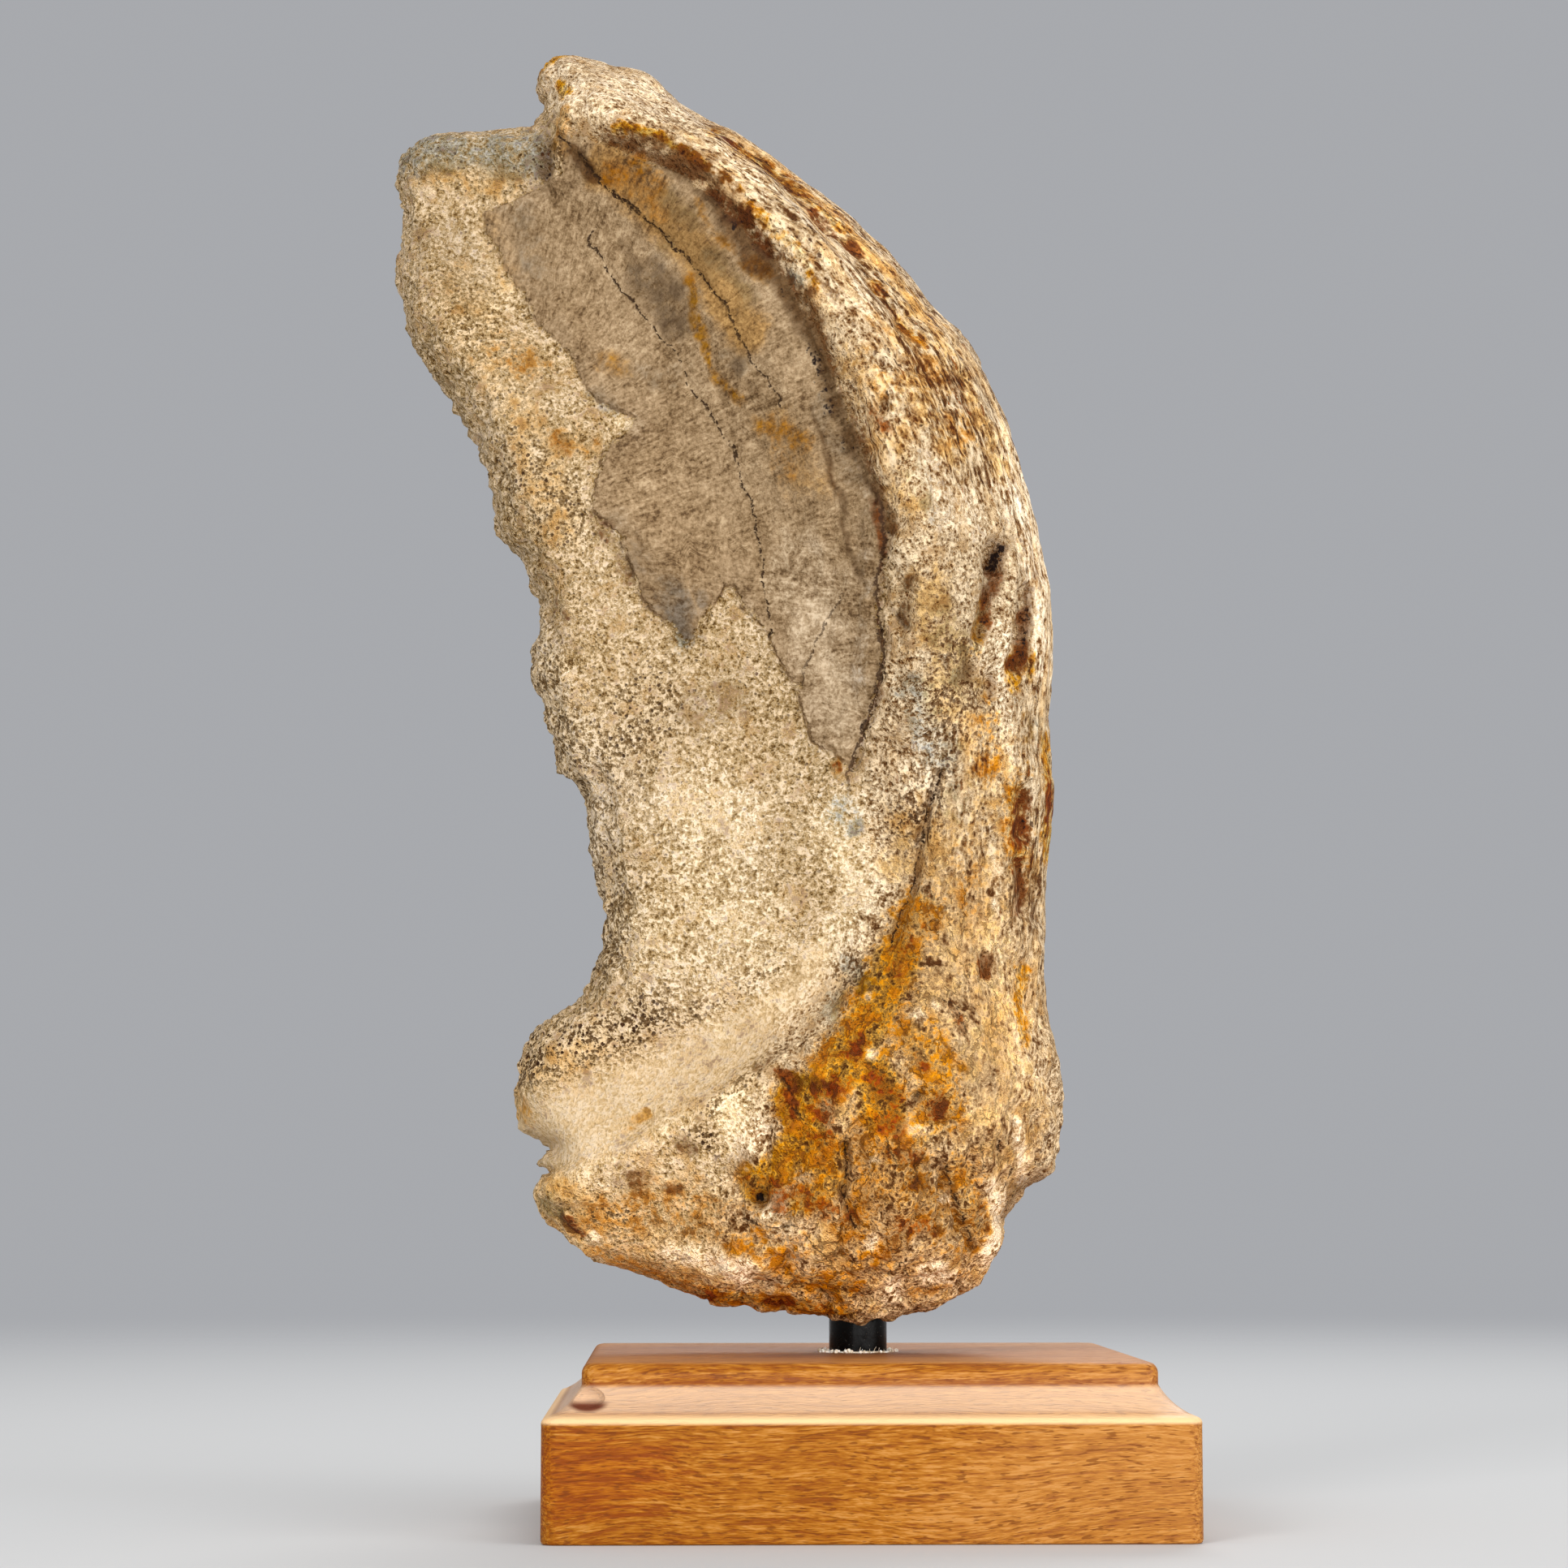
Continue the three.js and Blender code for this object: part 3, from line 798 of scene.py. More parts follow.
def eased_run(points, steps):
    """A smooth run of points through the given ones (a Catmull-Rom curve)."""
    knots = np.array([points[0]] + list(points) + [points[-1]], float)
    share = np.linspace(0, 1, steps, endpoint=False)[:, None]
    pieces = []
    for a, b, c, d in zip(knots[:-3], knots[1:-2], knots[2:-1], knots[3:]):
        pieces.append(0.5 * (2 * b + (c - a) * share + (2 * a - 5 * b + 4 * c - d) * share ** 2
                             + (3 * b - a - 3 * c + d) * share ** 3))
    return np.vstack(pieces + [knots[-1:]])


grain_run = eased_run(GRAIN_COURSE, GRAIN_STEPS)


def grain_place(places):
    """Each spot's place across the fibres, along them, and through the bone."""
    distance, side, along = line_distance(front_spots(places), grain_run)
    return np.column_stack([distance * side, along, places[:, 1]])


print("the fibres' course:", len(grain_run), "points")

# %% Where the surface is spongy, fibrous or smooth
FIBRE_BORDER = [
    (-60, 262), (-53, 246), (-50, 238.5), (-36.7, 234), (-22, 223), (-9, 203), (0, 180), (4.5, 166),
    (4, 150), (1, 134), (0, 122), (2, 108), (-4, 96), (-14, 84), (-18, 72), (-22, 60), (-26, 46),
    (-30, 30),
]
BACK_BORDER = [
    (-66, 262), (-60, 236), (-57, 210), (-50, 186), (-45, 164), (-38, 146), (-36, 120), (-38, 100),
    (-46, 84), (-44, 66), (-34, 52), (-30, 30),
]


def side_of(spots, border, width):
    """1 to the right of a border that runs downwards, 0 to the left of it, soft over the width."""
    distance, side, _ = line_distance(spots, border)
    return soft(distance * side, -width / 2, width / 2)


GROOVE = [
    ([(-58, 66), (-50, 67), (-40, 71)], 7.6, 1), ([(-42, 70.5), (-30, 76), (-20, 82)], 6.2, 1),
    ([(-20, 82), (-12, 88.5), (-7, 95)], 4.4, 1),
]
STREAKED = [
    ([(-52, 256), (-34, 244), (-20, 235)], 13, 0.45),
    ([(-20, 235), (-8, 224), (2, 212), (13, 196), (20, 182)], 13, 1),
    ([(24, 184), (31, 168), (33, 150), (31, 128), (29, 108), (30, 88)], 6, 0.9),
    ([(14, 128), (18, 104), (24, 84)], 9, 0.8), ([(6, 200), (2, 180)], 6, 0.9),
    ([(27, 76), (24, 62)], 6, 0.7),
]
CREASED = [
    ([(14, 96), (8, 80), (4, 62), (0, 46)], 18, 1), ([(-8, 62), (-22, 52), (-32, 46)], 9, 0.8),
    ([(24, 90), (20, 60), (12, 44)], 10, 0.8), ([(-58, 240), (-76, 238)], 5, 0.5),
]
spots = front_spots(places)
print("right of the border:", int(side_of(spots, FIBRE_BORDER, 4 * MM).sum()), "of", len(spots))

# %% [markdown]
# ## Sculpting
#
# The strokes, the facets' steps and the noise are added up as one height for each point, in
# millimetres, and the surface moves by it once. Each kind of bone has its own noise: fine grooves
# along the fibres, small pits where it is spongy, knobs and crumbs where it is broken, and flakes at
# the foot. Steep edges that face sideways get the broken kind, for that is where the bone snapped.

# %% Where each kind of bone is
places = read_places(bone.data)
normals = read_places(bone.data, "normal")
spots = front_spots(places)
outside = away_from_hole(places)
front = soft(-normals[:, 1], 0.0, 0.4) * outside
back = soft(normals[:, 1], 0.0, 0.4) * outside

facet_depth = outline_depth(spots, FACET_RIM + FACET_BREAK)
behind = soft(normals[:, 1], -0.2, 0.3)
fibrous = side_of(spots, FIBRE_BORDER, 4 * MM) * (1 - behind)
fibrous += side_of(spots, BACK_BORDER, 6 * MM) * behind
back_facet_depth = outline_depth(spots, BACK_FACET)
on_facet = soft(facet_depth, 0, FACET_BLEND) * front
on_facet = np.maximum(on_facet, soft(back_facet_depth, 0, FACET_BLEND) * back)
groove = patch(spots, GROOVE) * front
spongy = (1 - fibrous) * (1 - on_facet) * (1 - groove)
print("on the facets:", int(on_facet.sum()), "points, spongy:", int(spongy.sum()))

# %% Sculpt
raised = front * (strokes(spots, BUILT_UP) + strokes(spots, CARVED))
raised += front * FACET_STEP * soft(facet_depth, -STEP_WIDTH, STEP_WIDTH)
raised += back * (strokes(spots, BACK_BUILT_UP) + strokes(spots, BACK_CARVED))
raised += back * FACET_STEP * soft(back_facet_depth, -STEP_WIDTH, STEP_WIDTH)
raised -= back * DISH_DEPTH * soft(back_facet_depth, 1 * MM, 15 * MM)
for crack, strength in BACK_CRACKS:
    raised -= back * CRACK_DEPTH * strength * stroke_weight(spots, crack, CRACK_REACH)

left_break = soft(-normals[:, 0], 0.2, 0.7)
grain = grain_place(places)
streaked = np.maximum(patch(spots, STREAKED), 0.7 * behind)
fibres = lumps(grain * (1, 0.22, 1), 3.0 * MM, 3) * 0.3 + lumps(grain * (1, 0.3, 1), 1.7 * MM, 5) * 0.3
sponge = lumps(places, 2.0 * MM, 11) * 0.2 - soft(pits(places, 2.6 * MM, 2), 0.45, 0.2) * 0.3
broad = rough(places, 9 * MM, 21, 2)
knobs = rough(places, 5 * MM, 31, 3)
creases = soft(np.abs(lumps(grain * (1, 0.6, 1), 7 * MM, 37)), 0.14, 0.0)
crumbly = rough(places, 2.4 * MM, 71, 2)
flakes = soft(pits(grain * (1, 0.6, 1), 4.5 * MM, 9), 0.2, 0.7) - 0.5
foot = soft(places[:, 2], 92 * MM, 66 * MM) * fibrous
raised += outside * (1 - groove) * (
    fibrous * (fibres * streaked * (1 - 0.5 * foot) + sponge * (1 - streaked) * 0.8)
    + spongy * sponge
    + left_break * (knobs * 0.8 + crumbly * 0.7)
    + spongy * crumbly * 0.12
    + foot * (knobs * 0.8 + flakes * 0.5)
    - fibrous * creases * (0.3 + 0.6 * foot)
    + (1 - on_facet) * broad * 0.3
)
write_places(bone.data, places + normals * (raised * outside * MM)[:, None])
print("carved between", round(raised.min(), 2), "and", round(raised.max(), 2), "mm")

# %% Keep the detail and thin the rest
BONE_TRIANGLES = 196_000
bpy.ops.object.mode_set(mode="EDIT")
bpy.ops.mesh.select_all(action="SELECT")
bpy.ops.mesh.quads_convert_to_tris()
bpy.ops.mesh.normals_make_consistent(inside=False)
bpy.ops.object.mode_set(mode="OBJECT")
thin = bone.modifiers.new("thin_flat_places", "DECIMATE")
thin.ratio = min(1.0, BONE_TRIANGLES / len(bone.data.polygons))
bpy.ops.object.modifier_apply(modifier=thin.name)
bpy.ops.object.shade_smooth()
print("bone:", len(bone.data.polygons), "triangles")

# %% [markdown]
# ## The bone's stains
#
# The colours came from the ground: yellow and orange ochre where iron-rich water ran, rust in its
# core, umber under the rim, slate grey where the skin is worn thin, and pale bone in the middle.
# Each is a table of soft dabs: a run of points, a reach in millimetres and a strength up to 1. They
# only say where a stain is strong: the material's noise gives it its ragged edge. They are stored on
# the bone's points, three to an attribute. The back has tables of its own, and between the two,
# where no table places a stain, wide noise lays drifts of the same stains.

# %% Tables of stains
OCHRE = [
    ([(-42, 239.2), (-37.5, 238.1), (-34.6, 237.4), (-32, 236), (-29.5, 234.3), (-27.3, 232)], 1.0, 1),
    ([(-27.3, 232), (-24.8, 230.2), (-20.5, 227), (-17, 222)], 0.9, 0.42),
    ([(-43, 231.6), (-39, 231.8), (-35.4, 228)], 2.4, 0.66), ([(-39.6, 233.4), (-37.4, 232)], 1.4, 1),
    ([(-18, 214.6), (-16.4, 212.6)], 1.2, 0.8), ([(-20.8, 221.4), (-18.6, 218.4)], 0.8, 0.5),
    ([(-41, 228), (-37, 226), (-34, 223.5)], 1.5, 0.4),
    ([(-28.6, 225.5), (-26, 221.5), (-23.5, 218.4), (-21.4, 216), (-18.8, 212.8), (-17, 211)], 1.0, 0.6),
    ([(-29.6, 213), (-29.5, 208.8), (-28.6, 205.5), (-27.4, 202.6)], 1.2, 0.95),
    ([(-27.4, 202.6), (-26, 198.3), (-24.8, 195.5)], 0.8, 0.8),
    ([(-24, 194.6), (-22.7, 193.2), (-20.6, 191.5)], 1.1, 0.9),
    ([(-17.5, 187), (-12.8, 185.5), (-10.4, 184)], 2.2, 0.66),
    ([(-14.4, 182.5), (-12.9, 178)], 2.2, 0.35), ([(-44.5, 200), (-41.5, 198)], 2.2, 0.5),
    ([(-60.5, 201.5), (-57, 199)], 4, 0.45), ([(-51, 186), (-48, 184)], 3, 0.42),
    ([(-4.2, 128.2)], 1.5, 1), ([(-25, 241.5), (-14, 233.3), (-9.7, 229), (-3, 223)], 1.5, 0.6),
    ([(-20, 224), (-12, 217), (-8, 210)], 1.6, 0.55), ([(1.5, 212.7), (6, 206), (10.5, 200)], 1.2, 0.6),
    ([(10, 196), (16, 184)], 4, 0.25), ([(2, 202), (4, 190)], 3, 0.22),
    ([(-56, 256.5), (-52, 257.5)], 2.5, 0.7), ([(-52, 250), (-51.4, 248.6)], 1.2, 0.9),
    ([(-52.6, 243), (-52.2, 237)], 1.5, 0.6), ([(21, 155), (19, 148)], 1.6, 0.6),
    ([(26.5, 148), (26, 142)], 1.6, 0.6), ([(29.3, 147.5), (29.2, 144)], 1.0, 0.7),
    ([(21, 138), (21.5, 127)], 2.4, 0.42), ([(28, 138), (28, 128)], 2, 0.35),
    ([(26, 124), (27, 112)], 2.6, 0.6), ([(32.4, 134), (33, 114)], 1.6, 0.7),
    ([(17, 112), (18, 104)], 3, 0.3), ([(27.4, 94), (27.2, 88), (27.4, 82)], 1.4, 0.6),
    ([(9, 104), (6, 95)], 4.4, 0.6), ([(6, 95), (2, 87), (-1.5, 80)], 4.6, 0.9),
    ([(-1.5, 80), (-5, 77), (1, 76)], 4.6, 1), ([(1, 76), (3, 69)], 4.4, 1),
    ([(-6, 74), (-12, 72), (-10, 66), (-14, 60), (-18, 57)], 3.6, 0.95),
    ([(-12.4, 64.6), (-7, 59.4)], 2.2, 0.8), ([(-7, 64), (-5.5, 58), (-10, 54)], 3.4, 0.7),
    ([(8, 82), (12, 76), (13, 70), (9, 66)], 4.6, 0.6), ([(3, 62), (7, 56), (12, 52)], 7.5, 0.5),
    ([(16, 58), (18, 50)], 5, 0.55), ([(-1, 52), (1, 46)], 4.5, 0.5),
    ([(-44, 46), (-41.8, 43.8), (-34, 41.2), (-26, 38.5), (-15, 37.2), (-2, 35.5)], 1.7, 0.72),
    ([(-59.5, 73), (-58, 69.5), (-56.5, 68.2)], 1.4, 0.6),
    ([(-44, 51), (-34, 54), (-26, 51), (-14, 46)], 4.6, 0.46),
    ([(-39.4, 66.4), (-36.4, 69.0)], 0.95, 1), ([(6, 40), (16, 42)], 3.0, 0.25),
    ([(-12, 41), (-2, 40)], 2.6, 0.6),
]
RUST = [
    ([(0, 81), (-2.4, 79.4)], 1.7, 0.6), ([(2, 74), (4.4, 68)], 2.8, 0.7),
    ([(-12, 56), (-7, 53), (-2, 52)], 2.0, 0.34), ([(4, 52), (10, 49.5)], 1.8, 0.42),
    ([(8.6, 80), (9.6, 77)], 1.2, 0.5), ([(4, 62.5), (8, 61.5)], 1.6, 0.4),
    ([(-4, 75), (-8, 72), (-7, 67)], 2.6, 0.5),
    ([(-13.4, 75.5), (-12.6, 72.5), (-11.5, 69.5)], 1.1, 0.95),
    ([(-19, 57), (-15.5, 57.5), (-14, 54)], 1.7, 0.8), ([(12.2, 70.2)], 1.9, 1),
    ([(13.5, 87), (15.4, 85.6), (16.4, 83)], 0.9, 0.8), ([(22.4, 162), (21, 152)], 1.2, 0.9),
    ([(28, 157), (27.4, 151)], 1.0, 0.8), ([(27, 150), (26.2, 145)], 1.2, 0.9),
    ([(27.6, 123), (27.3, 116)], 1.7, 0.95), ([(27, 112), (27.4, 104)], 1.4, 0.8),
    ([(33, 126), (33, 121)], 1.6, 0.9), ([(-28, 39), (-25.5, 38)], 0.9, 0.8),
    ([(-16, 37.3), (-12, 37)], 0.8, 0.7), ([(-9, 36.8), (-6, 36.8)], 0.8, 0.6),
    ([(-49.6, 51.2), (-47.6, 48.8)], 0.9, 0.9), ([(-4.0, 128.2)], 1.0, 1),
    ([(-25, 227), (-21, 222.5), (-16, 216)], 1.2, 0.6), ([(1.5, 172), (3.2, 163)], 0.8, 0.7),
    ([(-8, 225), (-5.4, 222.5)], 1.3, 1), ([(-2.2, 219.8), (-0.6, 218.4)], 1.2, 0.9),
    ([(-23.6, 240.3), (-21.6, 238.8)], 0.8, 0.9), ([(15.6, 195), (17.8, 189)], 1.1, 0.7),
    ([(12, 186.5)], 0.9, 0.6), ([(2.6, 211.5), (5.4, 206)], 0.8, 0.8),
    ([(1.3, 187), (4, 184)], 1.2, 0.7), ([(5, 93), (9, 100)], 1.2, 0.4),
    ([(20.6, 95.6), (20.8, 92.6)], 1.0, 0.9), ([(-46, 171.5), (-43, 170.3)], 1.2, 0.4),
]
UMBER = [
    ([(7.4, 158), (7.2, 152)], 1.4, 0.55), ([(-16, 233), (-12.6, 230.4)], 1.3, 0.5),
    ([(-33.6, 212), (-31.8, 206)], 3.0, 0.5), ([(-39.4, 213.4), (-36, 209.6)], 2.2, 0.4),
    ([(-41.6, 219.4), (-37.5, 214.5)], 1.5, 0.42), ([(-36.4, 217), (-34.5, 214)], 1.2, 0.45),
    ([(-22.2, 198), (-21.6, 196)], 1.5, 0.5), ([(-18.6, 193.6)], 1.1, 0.5),
    ([(-44, 238), (-40, 236.4)], 1.2, 0.5), ([(-38.6, 236.8), (-35, 235.8), (-31, 233)], 1.8, 0.9),
    ([(-28, 230), (-25.2, 227.4)], 2.2, 1),
    ([(-33.4, 234.6), (-31, 232.9), (-27.6, 229.8), (-23.8, 225.4), (-21, 220), (-17.6, 214.8)], 3.0, 1),
    ([(-18.4, 216), (-13.4, 210.4), (-10.8, 206.5), (-8.8, 203)], 2.3, 0.86),
    ([(-8.8, 203), (-6.6, 197.3), (-5, 192), (-3.2, 187), (-1.2, 181), (1.2, 176)], 1.6, 0.75),
    ([(1.2, 176), (3, 171.5), (4.2, 167.5)], 1.2, 0.75),
    ([(-7.8, 188.5), (-6.3, 181.3), (-4.8, 176.5), (-3.3, 171), (-2.3, 164.7), (-1.4, 160.5)], 0.7, 0.7),
    ([(5, 62), (9, 57), (13.5, 50)], 4.2, 0.26), ([(19.2, 52.4), (19.8, 50.4)], 1.8, 0.6),
    ([(2, 55), (5, 47)], 3.2, 0.4), ([(-51, 51.4), (-49, 49.8)], 1.2, 0.8),
    ([(-50.4, 236.5), (-48.6, 233.4), (-46, 231.6)], 1.1, 0.9), ([(-18.4, 77), (-12, 81)], 1.2, 0.4),
    ([(-33.6, 56.4), (-30.6, 56.8)], 0.7, 0.8), ([(-31, 64.6), (-29.4, 63)], 1.8, 0.5),
    ([(-42, 59.6), (-37, 57.6)], 2.2, 0.4), ([(-52, 156), (-50, 148)], 3, 0.25),
    ([(-46.4, 172.2), (-42.6, 167), (-39.8, 160.6), (-37, 156.6)], 1.4, 0.4),
]
SLATE = [
    ([(29.4, 136), (30, 133)], 2.6, 0.3), ([(-33, 158), (-29.5, 157)], 3.0, 1),
    ([(-31.5, 155), (-30, 150.5)], 2.4, 1), ([(-39.6, 215.6), (-37.6, 212.6)], 1.4, 0.3),
    ([(-34, 219), (-36, 214)], 2.0, 0.4), ([(-33, 227), (-29.6, 222.4)], 2.0, 0.75),
    ([(-26, 217), (-22.4, 213), (-19.2, 208)], 1.7, 0.75), ([(-23.2, 199.6), (-21, 196.4)], 1.9, 0.5),
    ([(-12.6, 212), (-11, 210)], 0.9, 0.9), ([(-33.4, 210), (-31.4, 206)], 3.2, 0.3),
    ([(-7.3, 190), (-4.3, 181.7), (-1.6, 176)], 1.6, 0.5),
    ([(-1.6, 176), (0.2, 170), (0.2, 162), (-0.4, 152), (-0.8, 141)], 1.8, 0.22),
    ([(-60, 226), (-57, 218)], 4, 0.35), ([(-46.4, 193.6), (-43, 191.6)], 2.0, 0.35),
    ([(-39.4, 197.4), (-33, 196)], 2.2, 0.42), ([(-42, 172), (-37, 164)], 3, 0.3),
    ([(8.5, 178), (11, 170)], 2.5, 0.3), ([(7.2, 157.5), (7, 151)], 1.6, 0.45),
    ([(14, 150), (16, 140)], 4, 0.4), ([(8, 139), (13, 131), (15, 122)], 4.0, 0.5),
    ([(26, 139)], 2.4, 0.4), ([(-2, 94.4), (0, 91)], 2.0, 0.7), ([(-5, 88), (-6, 84)], 1.6, 0.6),
    ([(-78, 238), (-66, 238.5), (-57, 237)], 4.2, 0.8), ([(-5, 121), (-3, 118)], 3, 0.5),
    ([(-54.4, 54), (-52, 53)], 2.0, 0.75), ([(-10, 74), (-8, 73.6)], 1.4, 0.6), ([(8.6, 72)], 1.0, 0.8),
]
GOLDEN = [
    ([(14, 112), (18, 90), (20, 66), (14, 48)], 13, 0.6),
    ([(12, 96), (6, 84), (0, 66), (0, 48)], 12, 0.7),
    ([(-42, 46), (-28, 44), (-10, 40), (8, 42)], 7, 0.6), ([(-34, 55), (-20, 50)], 6, 0.4),
    ([(-44, 233), (-38, 228), (-31, 221), (-25, 212), (-20, 203)], 4.2, 1),
    ([(-25, 241), (-14, 233), (-3, 223), (7, 212), (17, 196), (24, 180)], 2.6, 0.7),
    ([(10, 200), (16, 186)], 6, 0.5), ([(18, 138), (24, 120), (27, 108)], 6, 0.5),
    ([(10, 156), (14, 146), (14, 138)], 4.5, 0.8), ([(-52, 54), (-42, 49)], 5, 0.8),
    ([(9, 192), (15, 182)], 4, 0.8), ([(-2, 196), (4, 184), (8, 172)], 4, 0.4),
    ([(-70, 214), (-64, 200), (-56, 184), (-52, 170)], 5, 0.35), ([(-74, 234), (-62, 232)], 3.5, 0.4),
    ([(-64, 224), (-62, 214)], 4, 0.3), ([(-14, 186), (-9, 176)], 5, 0.4),
    ([(-56, 76), (-46, 80)], 3.5, 0.35),
]
PALE = [
    ([(-58, 66), (-50, 67), (-40, 71)], 7.2, 0.5), ([(-42, 70.5), (-30, 76), (-20, 82)], 5.8, 0.38),
    ([(-20, 82), (-12, 88.5), (-7, 95)], 4.2, 0.4), ([(-27, 119), (-24, 109), (-19, 97)], 10, 0.6),
    ([(-36, 100), (-26, 92)], 9, 0.52), ([(-4, 118), (2, 106), (-2, 99)], 6, 0.8),
    ([(-22.4, 69), (-20.4, 65)], 3.6, 1),
    ([(-31, 244.5), (-27, 238.6), (-22.6, 234), (-18.3, 230), (-14, 226.9), (-9.7, 222.8),
      (-7, 220.4)], 1.4, 0.45),
    ([(-42, 249), (-34, 246)], 5, 0.7), ([(-54, 253), (-50, 247), (-42, 244)], 4, 0.6),
    ([(-4, 214), (2, 204)], 2.0, 0.6), ([(-25.6, 230.6), (-22, 227)], 1.8, 0.6),
    ([(26, 186), (29, 174), (31.4, 160), (32.6, 146)], 3.2, 1), ([(23.5, 177), (26, 172)], 2.4, 0.6),
    ([(14, 142), (17, 133)], 3.4, 0.4), ([(10, 176), (13, 171), (20, 171)], 5, 0.45),
    ([(23, 150), (24, 140), (24, 130)], 3, 0.7), ([(11, 140), (9, 124)], 3, 0.5),
    ([(23, 99), (25, 92), (29, 74)], 4, 0.75), ([(18, 82), (20, 70)], 4, 0.4),
    ([(12, 82), (13, 76)], 3.4, 0.3), ([(-64, 212), (-70, 222)], 5, 0.35),
    ([(-42, 189), (-39.6, 187.4)], 1.8, 0.9), ([(-19, 157), (-17, 151)], 2.4, 0.3),
    ([(-10, 162), (-7, 148), (-4, 136)], 5.6, 0.8), ([(-30, 45), (-22, 43)], 2.2, 0.8),
    ([(0, 219), (4.5, 214.5)], 1.3, 0.5), ([(5, 39)], 3, 0.55),
    ([(-54, 150), (-48, 128), (-44, 108)], 5, 0.38), ([(-13, 168)], 1.4, 0.5),
    ([(-2, 161), (-0.4, 150)], 2.2, 0.5), ([(-1.5, 182), (0.2, 174)], 1.0, 0.5),
]
WHITE = [
    ([(-32.4, 46), (-26, 44.4), (-20.5, 42.4)], 1.9, 1), ([(-45, 48.8)], 1.3, 1),
    ([(22, 57), (23.4, 53), (23.2, 49), (21.5, 45)], 1.6, 1),
    ([(25.8, 68), (26.6, 63.5), (28, 58.5)], 1.3, 0.9), ([(10.5, 42.8), (14.5, 42.4)], 2.0, 0.9),
    ([(5.8, 40.4), (5, 38.4)], 1.9, 0.9), ([(1.8, 47.3)], 1.3, 0.9), ([(13.1, 54)], 0.9, 0.8),
    ([(1.2, 78.9)], 1.2, 0.9), ([(8, 66.8), (9.6, 66.2)], 1.0, 0.7), ([(0.7, 61.2)], 1.0, 0.8),
    ([(-16.2, 52.6)], 1.2, 0.9), ([(23, 112), (23, 103)], 0.9, 0.9),
    ([(9.6, 85.2), (8.4, 85)], 1.1, 0.8), ([(11.4, 87.4)], 1.0, 0.8), ([(0.8, 88.4)], 1.0, 0.7),
    ([(-25, 84), (-21.5, 81.5)], 1.2, 0.8),
]
# Dull patches darken the colour: partly the bone's own duller tone, and partly painted shade, as on the
# front of the left lobe, where the key light falls brightest.
DULL = [
    ([(-28, 230), (-25.2, 227.4)], 2.2, 0.8), ([(-15, 232.4), (-12.4, 230)], 1.8, 0.4),
    ([(-58, 66), (-50, 67), (-42, 70)], 7.2, 0.75), ([(-42, 70), (-30, 76), (-20, 82)], 5.8, 0.5),
    ([(-17, 234.5), (-11, 229)], 2.4, 1), ([(-15.4, 232.4), (-12, 229.5)], 2.4, 1),
    ([(-15, 226), (-9, 220)], 2.6, 0.62), ([(12, 191)], 4, 0.4), ([(-72, 222), (-69, 214)], 6, 0.8),
    ([(-74, 236)], 5, 0.25), ([(12, 154), (13, 144)], 5, 0.6), ([(19, 80), (20, 74)], 4, 0.8),
    ([(10.5, 58.5), (14.5, 50), (15.5, 46)], 3.4, 0.55), ([(1.5, 61), (5.5, 56), (4, 52)], 2.2, 0.2),
    ([(-38, 53), (-28, 49)], 5, 0.4), ([(-27, 66), (-22, 62)], 4, 0.35),
    ([(-30, 45), (-22, 43)], 2.2, 0.35), ([(20, 176), (13, 172)], 5, 0.2), ([(29, 136)], 3, 0.5),
    ([(-30, 221), (-26, 215)], 4, 0.6), ([(-37, 165), (-33, 158), (-30, 151)], 4, 0.62),
    ([(-58, 224), (-54, 212)], 4.5, 0.4), ([(-38, 213), (-33, 211), (-31.6, 206)], 3.4, 0.75),
    ([(-54, 208), (-51.5, 205.5)], 2, 0.4), ([(-29, 137), (-22, 141)], 5, 0.5),
    ([(-60, 205), (-52, 186)], 5, 0.2),
]
SPECKLED = [
    ([(-58, 150), (-52, 135), (-45, 112), (-44, 98)], 6, 0.8), ([(-50, 171), (-60, 181)], 5, 0.6),
    ([(-36, 139), (-44, 128)], 7, 0.65), ([(-58, 78), (-50, 81), (-42, 83), (-36, 86)], 4.8, 1),
    ([(-34, 84), (-24, 88.5), (-14, 95)], 1.3, 0.8), ([(-27, 70), (-20, 75), (-14, 80)], 1.6, 0.9),
    ([(-28, 66), (-25, 64)], 1.5, 1), ([(-3, 93)], 4.5, 1),
    ([(11, 138), (12, 128), (9, 118)], 4.5, 0.9), ([(16, 146), (14, 134)], 4, 0.7),
    ([(-45, 53), (-39, 52)], 1.8, 1), ([(-52, 237), (-56, 236)], 3, 0.9),
    ([(-42, 247), (-34, 244)], 5, 0.4),
]
BACK_OCHRE = [
    ([(16, 124), (12, 100), (6, 74)], 7, 0.75), ([(4, 66), (-8, 54), (-24, 44)], 8, 0.85),
    ([(20, 202), (8, 224), (-12, 240)], 5, 0.6), ([(-30, 129), (-24, 122)], 4.5, 0.7),
    ([(-50, 214), (-46, 200)], 3, 0.6), ([(-14, 196), (-10, 176)], 2.2, 0.6),
    ([(12.4, 156), (12, 140)], 2.4, 0.9), ([(-2.4, 116), (-4, 108)], 2.4, 0.9),
    ([(28, 170), (29, 148)], 3, 0.6),
]
BACK_RUST = [
    ([(12.4, 151), (12, 144)], 1.8, 1), ([(-2.4, 117), (-4, 110)], 1.6, 0.9),
    ([(19, 98), (19, 95)], 1.7, 0.9), ([(-29, 97), (-28, 92)], 1.7, 0.9),
    ([(-6, 52), (-14, 46)], 3.4, 0.7), ([(8, 92), (6, 84)], 2.4, 0.6), ([(-18.6, 65)], 2.4, 0.8),
    ([(19.4, 130), (19, 124)], 1.4, 0.9),
]
BACK_UMBER = [
    ([(-52, 218), (-41, 228), (-29, 225), (-17, 212), (-8.6, 196), (-4.6, 180), (-5.4, 163),
      (-10, 147)], 1.7, 0.7),
    ([(-8, 130), (-14, 118)], 4, 0.4), ([(-34, 60), (-26, 50)], 4, 0.5), ([(16, 88), (18, 74)], 4, 0.4),
]
